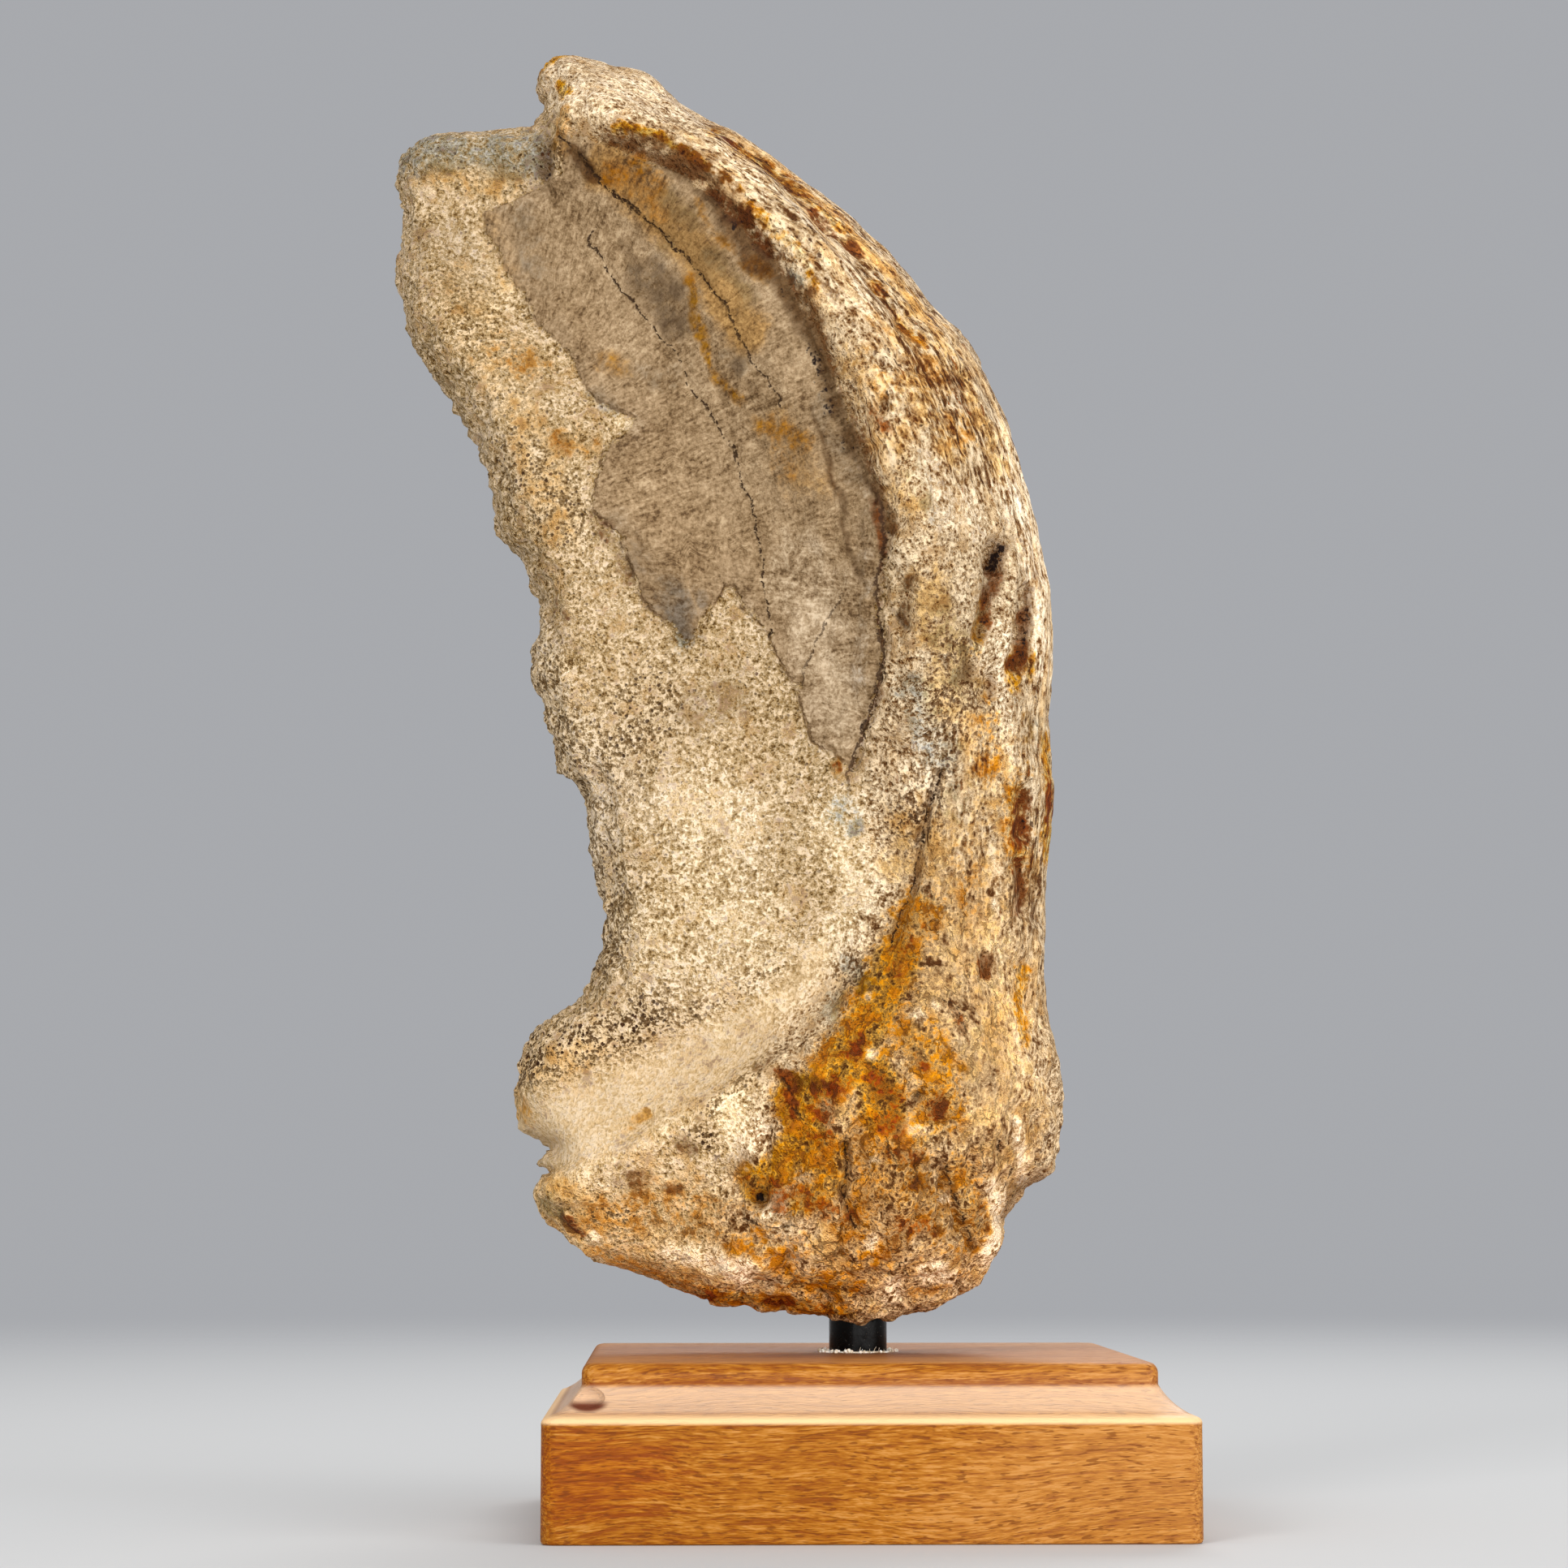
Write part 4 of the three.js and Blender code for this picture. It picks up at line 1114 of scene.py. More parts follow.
BACK_SLATE = [
    ([(-34, 186), (-26, 164)], 8, 0.45), ([(-44, 206), (-38, 214)], 4, 0.6), ([(-20, 150)], 4, 0.6),
    ([(-56, 238), (-40, 238)], 6, 0.5), ([(20, 140), (19, 116)], 4, 0.4),
]
BACK_PALE = [
    ([(-20, 108), (-12, 88)], 8, 0.9), ([(25, 176), (26, 146), (22, 118)], 4, 0.8),
    ([(-30, 76), (-14, 66)], 4, 0.8), ([(2, 214), (12, 186)], 4, 0.6),
    ([(-20, 200), (-16, 186)], 3, 0.6),
]
print("stains:", sum(map(len, (OCHRE, RUST, UMBER, SLATE, PALE, SPECKLED))), "strokes")

# %% Paint the tables on the bone
places = read_places(bone.data)
normals = read_places(bone.data, "normal")
spots = front_spots(places)
outside = away_from_hole(places)
front = soft(-normals[:, 1], -0.35, 0.1) * soft(places[:, 1], 12 * MM, 0) * outside
behind = soft(normals[:, 1], 0.0, 0.35) * soft(places[:, 1], -10 * MM, 2 * MM) * outside


def store(piece, name, *values):
    """Keep three values for each point in an attribute that the material can read."""
    attribute = piece.data.attributes.new(name, "FLOAT_VECTOR", "POINT")
    columns = [np.broadcast_to(value, len(piece.data.vertices)) for value in values]
    attribute.data.foreach_set("vector", np.column_stack(columns).astype(np.float32).ravel())
    print(name, "stored")


wander = np.column_stack([rough(places, 7 * MM, 41), rough(places, 7 * MM, 47)]) * 0.9 * MM
wander += np.column_stack([rough(places, 2.4 * MM, 51), rough(places, 2.4 * MM, 57)]) * 0.6 * MM
stain_spots = spots + wander
frayed = spots + 0.8 * wander
on_front = front > 0.5
on_back = (behind > 0.5) & ~on_front
print("points on the front:", int(on_front.sum()), "on the back:", int(on_back.sum()))

# %% Where the facets, their rims and the cracks are
FAR = 20 * MM
LONG_RIM = [(-95, 252)] + FACET_RIM + [(-5, 105)]


def by_side(front_value, back_value, elsewhere):
    return np.where(on_front, front_value, np.where(on_back, back_value, elsewhere))


facet_depth = outline_depth(spots, FACET_RIM + FACET_BREAK)
back_depth = outline_depth(spots, BACK_FACET)
rim_distance, rim_side, rim_along = line_distance(spots, LONG_RIM)
back_edge, _, back_along = line_distance(spots, BACK_FACET + BACK_FACET[:1])
facet_in = by_side(facet_depth, back_depth, -FAR)
rim_off = by_side(rim_distance * rim_side, back_edge, FAR)
rim_down = by_side(rim_along, back_along, rim_along)
store(bone, "facet", facet_in / MM, rim_off / MM, rim_down / MM)

crack_lines = [
    (LONG_CRACK, 0.95), (DARK_CRACK, 1.0), (FINE_CRACK, 0.9), (SIDE_CRACK, 1.0), (TONGUE_CRACK, 0.6),
]
crack_lines += FOOT_CRACKS
crack_gap = np.full(len(spots), FAR)
crack_side = np.ones(len(spots))
crack_strength = np.zeros(len(spots))
for line, strength in crack_lines + BACK_CRACKS:
    distance, side, _ = line_distance(spots, line)
    seen = on_back if (line, strength) in BACK_CRACKS else on_front
    nearer = (distance < crack_gap) & seen
    crack_side = np.where(nearer, side, crack_side)
    crack_strength = np.where(nearer, strength, crack_strength)
    crack_gap = np.where(nearer, distance, crack_gap)
store(bone, "cracks", crack_gap * crack_side / MM, crack_gap / MM, crack_strength)

# %% Where the stains and the kinds of bone are
# Away from the front the ground's water left wide drifts, which noise draws.
DRIFT_SEEDS = (101, 111, 121, 131)
elsewhere = 1 - front
drift = [rough(places, 26 * MM, seed, 3) * elsewhere for seed in DRIFT_SEEDS]


def both_sides(front_table, back_table):
    return np.maximum(patch(stain_spots, front_table) * front, patch(stain_spots, back_table) * behind)


fibrous = side_of(spots, FIBRE_BORDER, 5 * MM) * front
fibrous += side_of(stain_spots, BACK_BORDER, 5 * MM) * elsewhere
groove = patch(spots, GROOVE) * front
speckled = patch(stain_spots, SPECKLED) * front + soft(drift[0], 0.15, 0.7) * 0.8
store(bone, "texture", fibrous, speckled, groove)

clean = patch(stain_spots, WHITE)
stained_skin = front * (1 - 0.9 * clean)
stains = []
for front_table, back_table in ((OCHRE, BACK_OCHRE), (RUST, BACK_RUST), (UMBER, BACK_UMBER)):
    on_skin = patch(stain_spots, front_table) * stained_skin
    stains.append(np.maximum(on_skin, patch(stain_spots, back_table) * behind))
stains[0] = np.maximum(stains[0], 0.75 * soft(drift[1], 0.25, 0.8))
store(bone, "stains", *stains)

# Painted shade: how deep the carved hollows and vein holes go, for darkening them in the material.
hollow_shade = np.clip(-strokes(frayed, CARVED) / 3, 0, 1) * front
hollow_shade = np.maximum(hollow_shade, np.clip(-strokes(frayed, BACK_CARVED) / 3 - 0.35, 0, 1) * behind)
slate = np.maximum(both_sides(SLATE, BACK_SLATE), 0.5 * soft(-drift[3], 0.3, 0.8))
pale = np.maximum(both_sides(PALE, BACK_PALE), clean * front)
pale = np.maximum(pale, 0.8 * soft(drift[2], 0.2, 0.8))
store(bone, "greys_and_shade", slate, pale, hollow_shade)

# %% Where the fibres run, the wide zones of colour, and painted light and shade
FOOT_TOP = 100 * MM
FOOT_FULL = 60 * MM
low_down = soft(places[:, 2], FOOT_TOP, FOOT_FULL)
streaked = patch(stain_spots, STREAKED) * front
streaked += elsewhere * (0.25 + 0.6 * soft(drift[2], -0.4, 0.4))
creased = patch(stain_spots, CREASED) * front + low_down * elsewhere * 0.8
ridge = np.clip(strokes(spots, BUILT_UP) / 1.5, 0, 1) * front
ridge = np.maximum(ridge, np.clip(strokes(spots, BACK_BUILT_UP) / 1.5, 0, 1) * behind)
store(bone, "grain", *(grain_place(places).T))
store(bone, "fibres", streaked, creased, ridge)

# The foot lies in the bone's own shade, so its colours are lifted there a little.
under = 0.5 * low_down
under += 0.5 * soft(places[:, 2], 64 * MM, 40 * MM) * soft(-normals[:, 2], -0.2, 0.5)
under *= 1 - 0.35 * groove
gilded = patch(stain_spots, GOLDEN) * (1 - 0.9 * clean) * front + 0.8 * soft(drift[3], 0.0, 0.6)
dull = patch(stain_spots, DULL) * front + 0.6 * soft(-drift[1], 0.2, 0.8)
store(bone, "zones", under, gilded, dull)

# %% [markdown]
# ## The bone's finish
#
# Worn bone is matt and sandy, its thick side is combed with dark slits, and the facet is smooth and
# taupe. An image could be wrapped round it, but it would blur close up and stretch on the sides. So
# one material makes all three kinds of bone from noise at their grain's real size, and what was
# stored on the points says where each shows. A stain multiplies the colour under it, so the grain
# shows through, as it does where water has coloured real bone. Pores, slits and cracks come last, and
# they drive the fine relief too.

# %% Bone patterns
b = Finish("fossil_bone")
place = b.place()
grain_at = b.attribute("grain")
rim_at = b.attribute("facet")
facet_in, rim_off, rim_down = b.split(rim_at)
crack_off, crack_near, crack_dark = b.split(b.attribute("cracks"))
fibrous, speckled, smooth_groove = b.split(b.attribute("texture"))
ochre, rust, umber = b.split(b.attribute("stains"))
slate, pale, hollow_shade = b.split(b.attribute("greys_and_shade"))
under, gilt, dull = b.split(b.attribute("zones"))
streaked, creased, ridge = b.split(b.attribute("fibres"))
up = b.split(place)[2]

# Even noise, from clouds two centimetres wide down to single grains.
wide = b.noise(place, 45, 2)
patchy = b.noise(place, 200, 3, 0.7)
crumbs = b.noise(place, 620, 2, 0.7)
grains = b.noise(place, 1500, 2, 0.7)
# Noise pulled long down the fibres, and across the facet from its rim.
strips = b.noise(b.stretch(grain_at, (1, 0.16, 1)), 230, 2, 0.6)
fibre = b.noise(b.stretch(grain_at, (1, 0.3, 1)), 620, 2, 0.65)
slits = b.noise(b.stretch(grain_at, (1, 0.42, 1)), 1300, 1, 0.6, 0.3)
rays = b.noise(b.stretch(rim_at, (0, 0.28, 1)), 0.75, 3, 0.65)
fine_rays = b.noise(b.stretch(rim_at, (0, 0.2, 1)), 1.9, 2, 0.65)
print("patterns:", len(b.nodes), "nodes")

# %% Cells for pores, creases and slits
hole_at = b.shift(place, b.times(grains, 0.00004), b.times(crumbs, 0.00007), b.times(grains, 0.00004))
hole_distance, hole_colour, _ = b.cells(hole_at, 960)[:3]
hole_random, _, hole_pick = b.split(hole_colour)
warped = b.shift(b.stretch(grain_at, (1, 0.5, 1)), b.times(crumbs, 0.0004), b.times(patchy, 0.0005))
crease_gap = b.cells(warped, 330, feature="DISTANCE_TO_EDGE")[0]
dash_at = b.shift(b.stretch(grain_at, (1, 0.34, 1)), b.times(crumbs, 0.00016), b.times(patchy, 0.0003))
dash_gap, dash_colour = b.cells(dash_at, 850)[:2]
dash_pick, dash_tone, dash_random = b.split(dash_colour)
print("with cells:", len(b.nodes), "nodes")

# %% Masks
ragged = b.blend((patchy, 0.3), (grains, 0.15))
on_facet = b.step(b.plus(facet_in, ragged), -0.12, 0.2)
off_facet = b.flip(on_facet)
fibre_mask = b.times(fibrous, off_facet)
streak_mask = b.times(fibre_mask, streaked)
plain = b.flip(b.maths("MAXIMUM", b.times(smooth_groove, 0.55), b.times(pale, 0.32)))
even = b.flip(b.times(pale, 0.6))
print("with masks:", len(b.nodes), "nodes")

# %% Three kinds of bone
# Sandy worn bone, from brown pits to bare grains.
sandy = b.blend((grains, 0.76), (b.times(crumbs, even), 0.44))
sandy_tone = b.plus(b.times(sandy, plain), b.blend((wide, 0.2), (b.times(patchy, even), 0.2)))
sandy_colour = b.ramp(sandy_tone, -2.3, 2.3, [
    (106, 74, 34), (161, 129, 80), (194, 163, 117), (212, 183, 142),
    (218, 192, 156), (223, 201, 172)])
# Bone of the thick side: deep brown slits, golden fibres and pale ridges.
streaky = b.blend((slits, 0.75), (fibre, 0.55), (grains, 0.42))
streaky = b.value_mix(streaked, b.times(sandy, 1.1), streaky)
calm = b.flip(b.times(creased, 0.6))
streaky_tone = b.plus(
    b.times(streaky, calm), b.times(b.plus(patchy, crumbs), creased, 0.6),
    b.times(strips, streaked, 0.35), b.times(wide, 0.15))
streaky_colour = b.ramp(streaky_tone, -2.3, 2.3, [
    (88, 50, 18), (144, 107, 66), (191, 160, 119), (215, 187, 149),
    (225, 198, 158), (231, 209, 173)])
# The facet's thin polished skin.
facet_tone = b.blend(
    (rays, 0.34), (fine_rays, 0.3), (wide, 0.28), (patchy, 0.3), (grains, 0.48), (crumbs, 0.15))
facet_colour = b.ramp(facet_tone, -2.1, 2.1, [
    (86, 63, 38), (122, 96, 65), (146, 120, 87), (165, 138, 104),
    (184, 158, 123)])
colour = b.mix(fibre_mask, sandy_colour, streaky_colour)
colour = b.mix(on_facet, colour, facet_colour)
print("with three kinds of bone:", len(b.nodes), "nodes")

# %% Stains
TIP_TOP = 0.168     # the facet's blue-grey tip starts here and is full at the next height
TIP_FULL = 0.162
ragged_stain = b.blend((patchy, 0.2), (crumbs, 0.15), (grains, 0.08))


def stained(mask):
    """A stain's mask, broken up by the noise at its edge and inside it."""
    loose = b.times(ragged_stain, b.step(mask, 0.02, 0.35), b.flip(b.times(on_facet, 0.55)))
    return b.maths("MULTIPLY", b.plus(mask, loose, -0.14), 1.4, True)


grey = stained(slate)
blue_tip = b.times(grey, on_facet, b.step(up, TIP_TOP, TIP_FULL), 0.8)
rich = b.times(stained(ochre), b.maths("ADD", b.times(crumbs, 0.12), 0.92, True))
browner = b.times(ochre, fibre_mask, b.step(b.plus(crumbs, patchy), -0.2, 1.4), 0.8)
# Each row is where a stain, painted light or painted shade lies and what it multiplies red, green and
# blue by, in working order.
STAIN_TINTS = [
    (b.times(b.step(strips, 0.0, 1.5), streak_mask, 0.65), 0.93, 0.74, 0.45),      # golden strips
    (b.times(b.step(patchy, 0.4, 2.0), off_facet, even, 0.6), 0.92, 0.76, 0.50),   # yellow patches
    (b.times(b.step(patchy, -0.7, -1.8), off_facet, even, 0.45), 0.84, 0.87, 0.93),
    # Painted light: the foot, in the bone's own shade, is lifted.
    (under, 1.55, 1.52, 1.48),
    # Dull patches: the bone's own duller tone, and partly painted shade.
    (stained(dull), 0.72, 0.71, 0.70),
    (stained(gilt), 0.98, 0.81, 0.50),
    (stained(pale), 1.38, 1.50, 1.72),
    (b.times(grey, off_facet), 0.54, 0.65, 0.80),
    (b.times(grey, on_facet), 0.61, 0.66, 0.76),
    (blue_tip, 1.04, 1.12, 1.32),
    (b.times(rich, fibre_mask), 0.86, 0.52, 0.0),
    (browner, 0.68, 0.53, 0.36),
    (b.times(b.step(ochre, 0.35, 0.9), fibre_mask), 1.0, 0.97, 0.45),
    (b.times(rich, off_facet, b.flip(fibre_mask)), 0.81, 0.56, 0.2),
    (b.times(rich, on_facet), 0.81, 0.53, 0.06),
    (stained(umber), 0.32, 0.24, 0.16),
    (stained(rust), 0.42, 0.20, 0.08),
    (b.times(b.step(ridge, 0.2, 0.8), off_facet, 0.3), 1.3, 1.3, 1.28),            # bare ridges
]
for amount, red, green, blue in STAIN_TINTS:
    colour = b.tint(amount, colour, red, green, blue)
print("with", len(STAIN_TINTS), "stains:", len(b.nodes), "nodes")

# %% Creases and slits
crease = b.times(b.step(crease_gap, 0.1, 0.02), creased, b.step(b.plus(patchy, crumbs), -0.4, 1.0))
crease = b.times(crease, off_facet, plain)
colour = b.mix(b.times(crease, 0.7), colour, linear(84, 46, 16))
# Short dark slits along the fibres, some of them rusty.
dash = b.minus(dash_gap, b.plus(0.1, b.times(dash_random, 0.16)))
dash = b.times(b.step(dash, 0.05, -0.05), b.step(dash_pick, 0.15, 0.25), off_facet)
dash = b.times(dash, b.plus(b.times(streaked, 0.85), 0.15), fibrous, plain)
dash_tint = b.mix(b.step(dash_tone, 0.25, 0.85), linear(72, 38, 12), linear(146, 80, 24))
colour = b.mix(b.times(dash, b.flip(b.times(creased, 0.35)), 0.95), colour, dash_tint)
print("with slits:", len(b.nodes), "nodes")

# %% Pores
pore_size = b.plus(b.times(speckled, 0.12), 0.1, b.times(hole_random, 0.15))
pore = b.step(b.minus(hole_distance, b.plus(pore_size, b.times(grains, 0.04))), 0.05, -0.05)
pore = b.times(
    pore, off_facet, b.flip(b.times(smooth_groove, 0.8)),
    b.step(b.plus(hole_pick, b.times(speckled, 0.25)), 0.35, 0.5),
    b.flip(b.times(fibrous, b.flip(speckled))), even,
    b.flip(b.times(ochre, 0.6)), b.plus(0.7, b.times(speckled, 0.3)))
cavity = b.step(b.plus(crumbs, grains, b.times(patchy, 0.45)), -0.5, -1.2)
cavity = b.times(cavity, speckled, off_facet, plain)
colour = b.mix(b.times(cavity, 0.8), colour, linear(80, 50, 23))
colour = b.mix(pore, colour, linear(58, 32, 12))
print("with pores:", len(b.nodes), "nodes")

# %% Cracks, and painted shade along the borders and in the hollows
line = b.size_of(b.plus(crack_off, b.blend((patchy, 0.2), (grains, 0.08))))
line = b.times(b.step(line, 0.24, 0.06), b.step(crack_near, 1.4, 1.0), crack_dark)
line = b.times(line, b.step(b.plus(grains, b.times(crumbs, 0.9)), 1.2, -0.4))
colour = b.mix(line, colour, linear(54, 34, 18))
# Painted shade in the crevice under the rim, only between two distances down it, in millimetres.
CREVICE_START = (126, 140)
CREVICE_END = (192, 180)
crevice_shade = b.step(b.size_of(b.plus(rim_off, ragged)), 0.5, 0.15)
crevice_shade = b.times(crevice_shade, b.step(rim_down, *CREVICE_START), b.step(rim_down, *CREVICE_END))
colour = b.mix(b.times(crevice_shade, 0.9), colour, linear(62, 40, 24))
# The broken border of the facet gets a painted shadow line, as its step would cast, strongest low down.
border = b.size_of(b.plus(facet_in, b.times(ragged, 0.5), -0.1))
border = b.times(b.step(border, 0.4, 0.08), b.step(b.size_of(rim_off), 1.2, 2.0))
stronger_low_down = b.plus(0.25, b.times(b.step(up, 0.2, 0.18), 0.75))
border = b.times(border, b.step(patchy, -1.2, 0.2), stronger_low_down)
colour = b.tint(b.times(border, 0.8), colour, 0.42, 0.34, 0.26)
edge = b.times(on_facet, b.step(facet_in, 6, 0.5), b.step(b.size_of(rim_off), 3, 7))
colour = b.tint(b.times(edge, 0.3), colour, 0.76, 0.75, 0.77)
# Painted shade: the carved hollows and vein holes are darkened to brown, the deepest of them to near
# black.
shade = b.plus(hollow_shade, b.times(b.plus(grains, patchy, crumbs), 0.09))
colour = b.mix(b.times(b.step(shade, 0.12, 0.45), off_facet, 0.62), colour, linear(92, 50, 18))
colour = b.mix(b.step(shade, 0.6, 0.9), colour, linear(30, 16, 10))
print("with cracks:", len(b.nodes), "nodes")

# %% Relief and shine
GRAIN_DEPTH = 0.17 * MM
detail = b.value_mix(fibre_mask, sandy, streaky)
contrast = b.times(plain, b.flip(b.times(on_facet, 0.75)))
height = b.plus(
    b.times(b.maths("MINIMUM", detail, 0.8), contrast), b.times(pore, -1.2), b.times(line, -1.5),
    b.times(b.plus(crease, dash), -1.6))
b.shader.inputs["Specular IOR Level"].default_value = 0.1
shine = b.plus(0.75, b.times(on_facet, -0.12))
b.cover(bone, colour, shine, b.bump(height, 1.0, GRAIN_DEPTH))
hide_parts("bone")
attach(bone, "root")

# %% [markdown]
# ## The plinth
#
# The plinth is one block of hardwood whose upper edge a cutter has run round: a rounded arris, a long
# hollow cove, a little upright step and a rounded top edge. A profile swept along a square path could
# make it, but the mitred corners need care. Here a cube is the lower block, its upright corners are
# bevelled, and its top face is extruded level by level and resized to the cutter's profile.

# %% Plinth block and moulding
CORNER_RADIUS = 2.5 * MM
FOOT_EASE = 0.6 * MM
BLOCK_TOP = 18.6
ARC_STEPS = 7
HALF_PLINTH = 53.0
# Each run ends at an inset and a height, and bulges out by its third number (a cove is below 0).
MOULDING = [(1.1, 20.1, 0.47), (6.3, 24.9, -0.6), (6.3, 26.8, 0), (8.0, 28.5, 0.5)]


def moulded_levels(start, runs):
    """The inset and height of each level of the moulding, from the block upwards."""
    levels = []
    for inset, height, bulge in runs:
        run = (inset - start[0], height - start[1])
        length = math.hypot(*run)
        steps = ARC_STEPS if bulge else 1
        for k in range(1, steps + 1):
            share = k / steps
            swell = 4 * bulge * share * (1 - share) / length
            level_inset = start[0] + run[0] * share - run[1] * swell
            levels.append((level_inset, start[1] + run[1] * share + run[0] * swell))
        start = (inset, height)
    return levels


def edges_where(mesh, wanted):
    """Select the edges whose two ends a test accepts, and nothing else."""
    for edge in mesh.edges:
        ends = [mesh.vertices[i].co for i in edge.vertices]
        edge.select = wanted(*ends)
    for face in mesh.polygons:
        face.select = False
    for vertex in mesh.vertices:
        vertex.select = False


def in_edit(select_mode):
    bpy.ops.object.mode_set(mode="EDIT")
    bpy.ops.mesh.select_mode(type=select_mode)
    bpy.ops.mesh.select_all(action="DESELECT")
    bpy.ops.object.mode_set(mode="OBJECT")


def fix_place(piece):
    """Put the piece's place, turn and size into its mesh."""
    select_only(piece)
    bpy.ops.object.transform_apply(location=True, rotation=True, scale=True)


block_middle = (0, 0, BLOCK_TOP * MM / 2)
plinth = new_piece("moulded_plinth", bpy.ops.mesh.primitive_cube_add, size=1, location=block_middle)
plinth.scale = (2 * HALF_PLINTH * MM, 2 * HALF_PLINTH * MM, BLOCK_TOP * MM)
fix_place(plinth)

in_edit("EDGE")
edges_where(plinth.data, lambda a, b: abs(a.z - b.z) > MM)
bpy.ops.object.mode_set(mode="EDIT")
bpy.ops.mesh.bevel(offset=CORNER_RADIUS, offset_type="OFFSET", segments=5, affect="EDGES")
in_edit("EDGE")
edges_where(plinth.data, lambda a, b: a.z < 0.01 * MM and b.z < 0.01 * MM)
bpy.ops.object.mode_set(mode="EDIT")
bpy.ops.mesh.bevel(offset=FOOT_EASE, segments=2, affect="EDGES")
in_edit("FACE")
for face in plinth.data.polygons:
    face.select = face.normal.z > 0.9
bpy.ops.object.mode_set(mode="EDIT")
inset, level = 0.0, BLOCK_TOP
for next_inset, next_level in moulded_levels((0.0, BLOCK_TOP), MOULDING):
    bpy.ops.mesh.extrude_region_move(TRANSFORM_OT_translate={"value": (0, 0, (next_level - level) * MM)})
    shrink = (HALF_PLINTH - next_inset) / (HALF_PLINTH - inset)
    if shrink != 1:
        bpy.ops.transform.resize(value=(shrink, shrink, 1), center_override=(0, 0, 0))
    inset, level = next_inset, next_level
bpy.ops.object.mode_set(mode="OBJECT")
print("plinth:", len(plinth.data.polygons), "faces, top at", level, "mm")


# %% Post hole and gouge
def apply(piece, modifier):
    select_only(piece)
    bpy.ops.object.modifier_apply(modifier=modifier.name)


def cut_away(piece, cutter):
    """Cut one closed shape out of a piece and throw the cutter away."""
    cut = piece.modifiers.new("cut", "BOOLEAN")
    cut.operation = "DIFFERENCE"
    cut.solver = "EXACT"
    cut.object = cutter
    apply(piece, cut)
    bpy.data.objects.remove(cutter)


HOLE_RADIUS = 5.3 * MM
HOLE_DEPTH = 19 * MM
cut_away(plinth, new_piece(
    "drill", bpy.ops.mesh.primitive_cylinder_add, vertices=64, radius=HOLE_RADIUS,
    depth=2 * HOLE_DEPTH, location=(0, 0, plinth_high.z)))

# A knock has left a small bowl in the cove, near the left front corner.
GOUGE = Vector((-45.6, -48.6, 23.4)) * MM
GOUGE_SIZE = Vector((2.9, 2.3, 2.2)) * MM
dent = new_piece(
    "dent", bpy.ops.mesh.primitive_ico_sphere_add, subdivisions=4, radius=1, location=GOUGE)
dent.scale = GOUGE_SIZE
fix_place(dent)
cut_away(plinth, dent)

EDGE_EASE = 0.22 * MM
ease = plinth.modifiers.new("eased_edges", "BEVEL")
ease.width = EDGE_EASE
ease.segments = 2
ease.limit_method = "ANGLE"
ease.angle_limit = math.radians(32)
apply(plinth, ease)
bpy.ops.object.shade_smooth_by_angle(angle=math.radians(38))
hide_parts("plinth")
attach(plinth, "root")
print("plinth with its hole and knock:", len(plinth.data.polygons), "faces")

# %% [markdown]
# ## The plinth's finish
#
# The wood is close-grained, like beech or cherry, under a warm gloss varnish. Its grain runs from side
# to side. Short dark flecks, lighter streaks and wide soft rings are all noise pulled long along the
# grain, so the same nodes give fine dots on the ends of the block. A clear coat makes the varnish.

# %% Wood grain
w = Finish("varnished_wood")
place = w.place()
x, y, z = w.split(place)
clouds = w.noise(w.stretch(place, (0.4, 1, 1)), 38, 2)
# The grain leans a little and wavers, and each noise is pulled along it by its own amount.
sloped = w.shift(place, 0.0, w.times(clouds, 0.0008), w.blend((x, -0.045), (clouds, 0.0009)))
streaks = w.noise(w.stretch(sloped, (0.05, 1, 1)), 1000, 2, 0.65)
threads = w.noise(w.stretch(sloped, (0.1, 1, 1)), 3000, 2, 0.7)
flecks = w.noise(w.stretch(sloped, (0.2, 1, 1)), 2300, 1, 0.5)
# The rings' middle, where the heart of the tree was, lies behind and below the block.
RING_MIDDLE = (-0.075, -0.05)
RING_SCALE = 1500
ring_y = w.minus(y, RING_MIDDLE[0])
ring_z = w.minus(z, RING_MIDDLE[1])
ring_reach = w.maths("SQRT", w.plus(w.times(ring_y, ring_y), w.times(ring_z, ring_z)))
rings = w.maths("SINE", w.blend((ring_reach, RING_SCALE), (clouds, 1.3)))
tone = w.blend((streaks, 0.75), (threads, 1.05), (rings, 0.25), (clouds, 0.45))
colour = w.ramp(tone, -2.6, 2.6, [
    (134, 68, 2), (150, 85, 5), (163, 98, 14), (176, 112, 31), (189, 128, 58)])
fleck = w.step(w.plus(flecks, w.times(threads, -0.5)), 1.1, 2.2)
print("wood grain:", len(w.nodes), "nodes")

# %% Wood colours, painted highlights and shade, and varnish
ARRIS = 0.0197              # heights in metres, from the plinth's underside
COVE_BOTTOM = (0.0198, 0.0212)
COVE_TOP = (0.0252, 0.0242)
TOP_FACE = (0.0281, 0.0285)
ORANGE_MIDDLE = (-0.047, -0.053, 0.011)
ORANGE_SIZE = (0.019, 0.02, 0.0085)
orange = w.plus(w.far_from(place, ORANGE_MIDDLE, ORANGE_SIZE), w.times(streaks, 0.12))
orange = w.times(w.step(orange, 1.2, 0.4), 0.85)
colour = w.mix(orange, colour, w.mix(1.0, colour, linear(255, 230, 84), "MULTIPLY"))
paler = w.step(w.plus(x, w.times(clouds, 0.008)), 0.005, 0.05)
# Painted shadow: a dark line in the corner just under the little upright step.
shadow_under_step = w.plus(w.size_of(w.minus(z, COVE_TOP[0])), w.times(threads, 0.0002))
shadow_under_step = w.step(shadow_under_step, 0.0009, 0.0002)
# Painted highlight: a pale line along the rounded arris, where light catches it.
arris_highlight = w.step(w.size_of(w.minus(z, ARRIS)), 0.001, 0.0003)
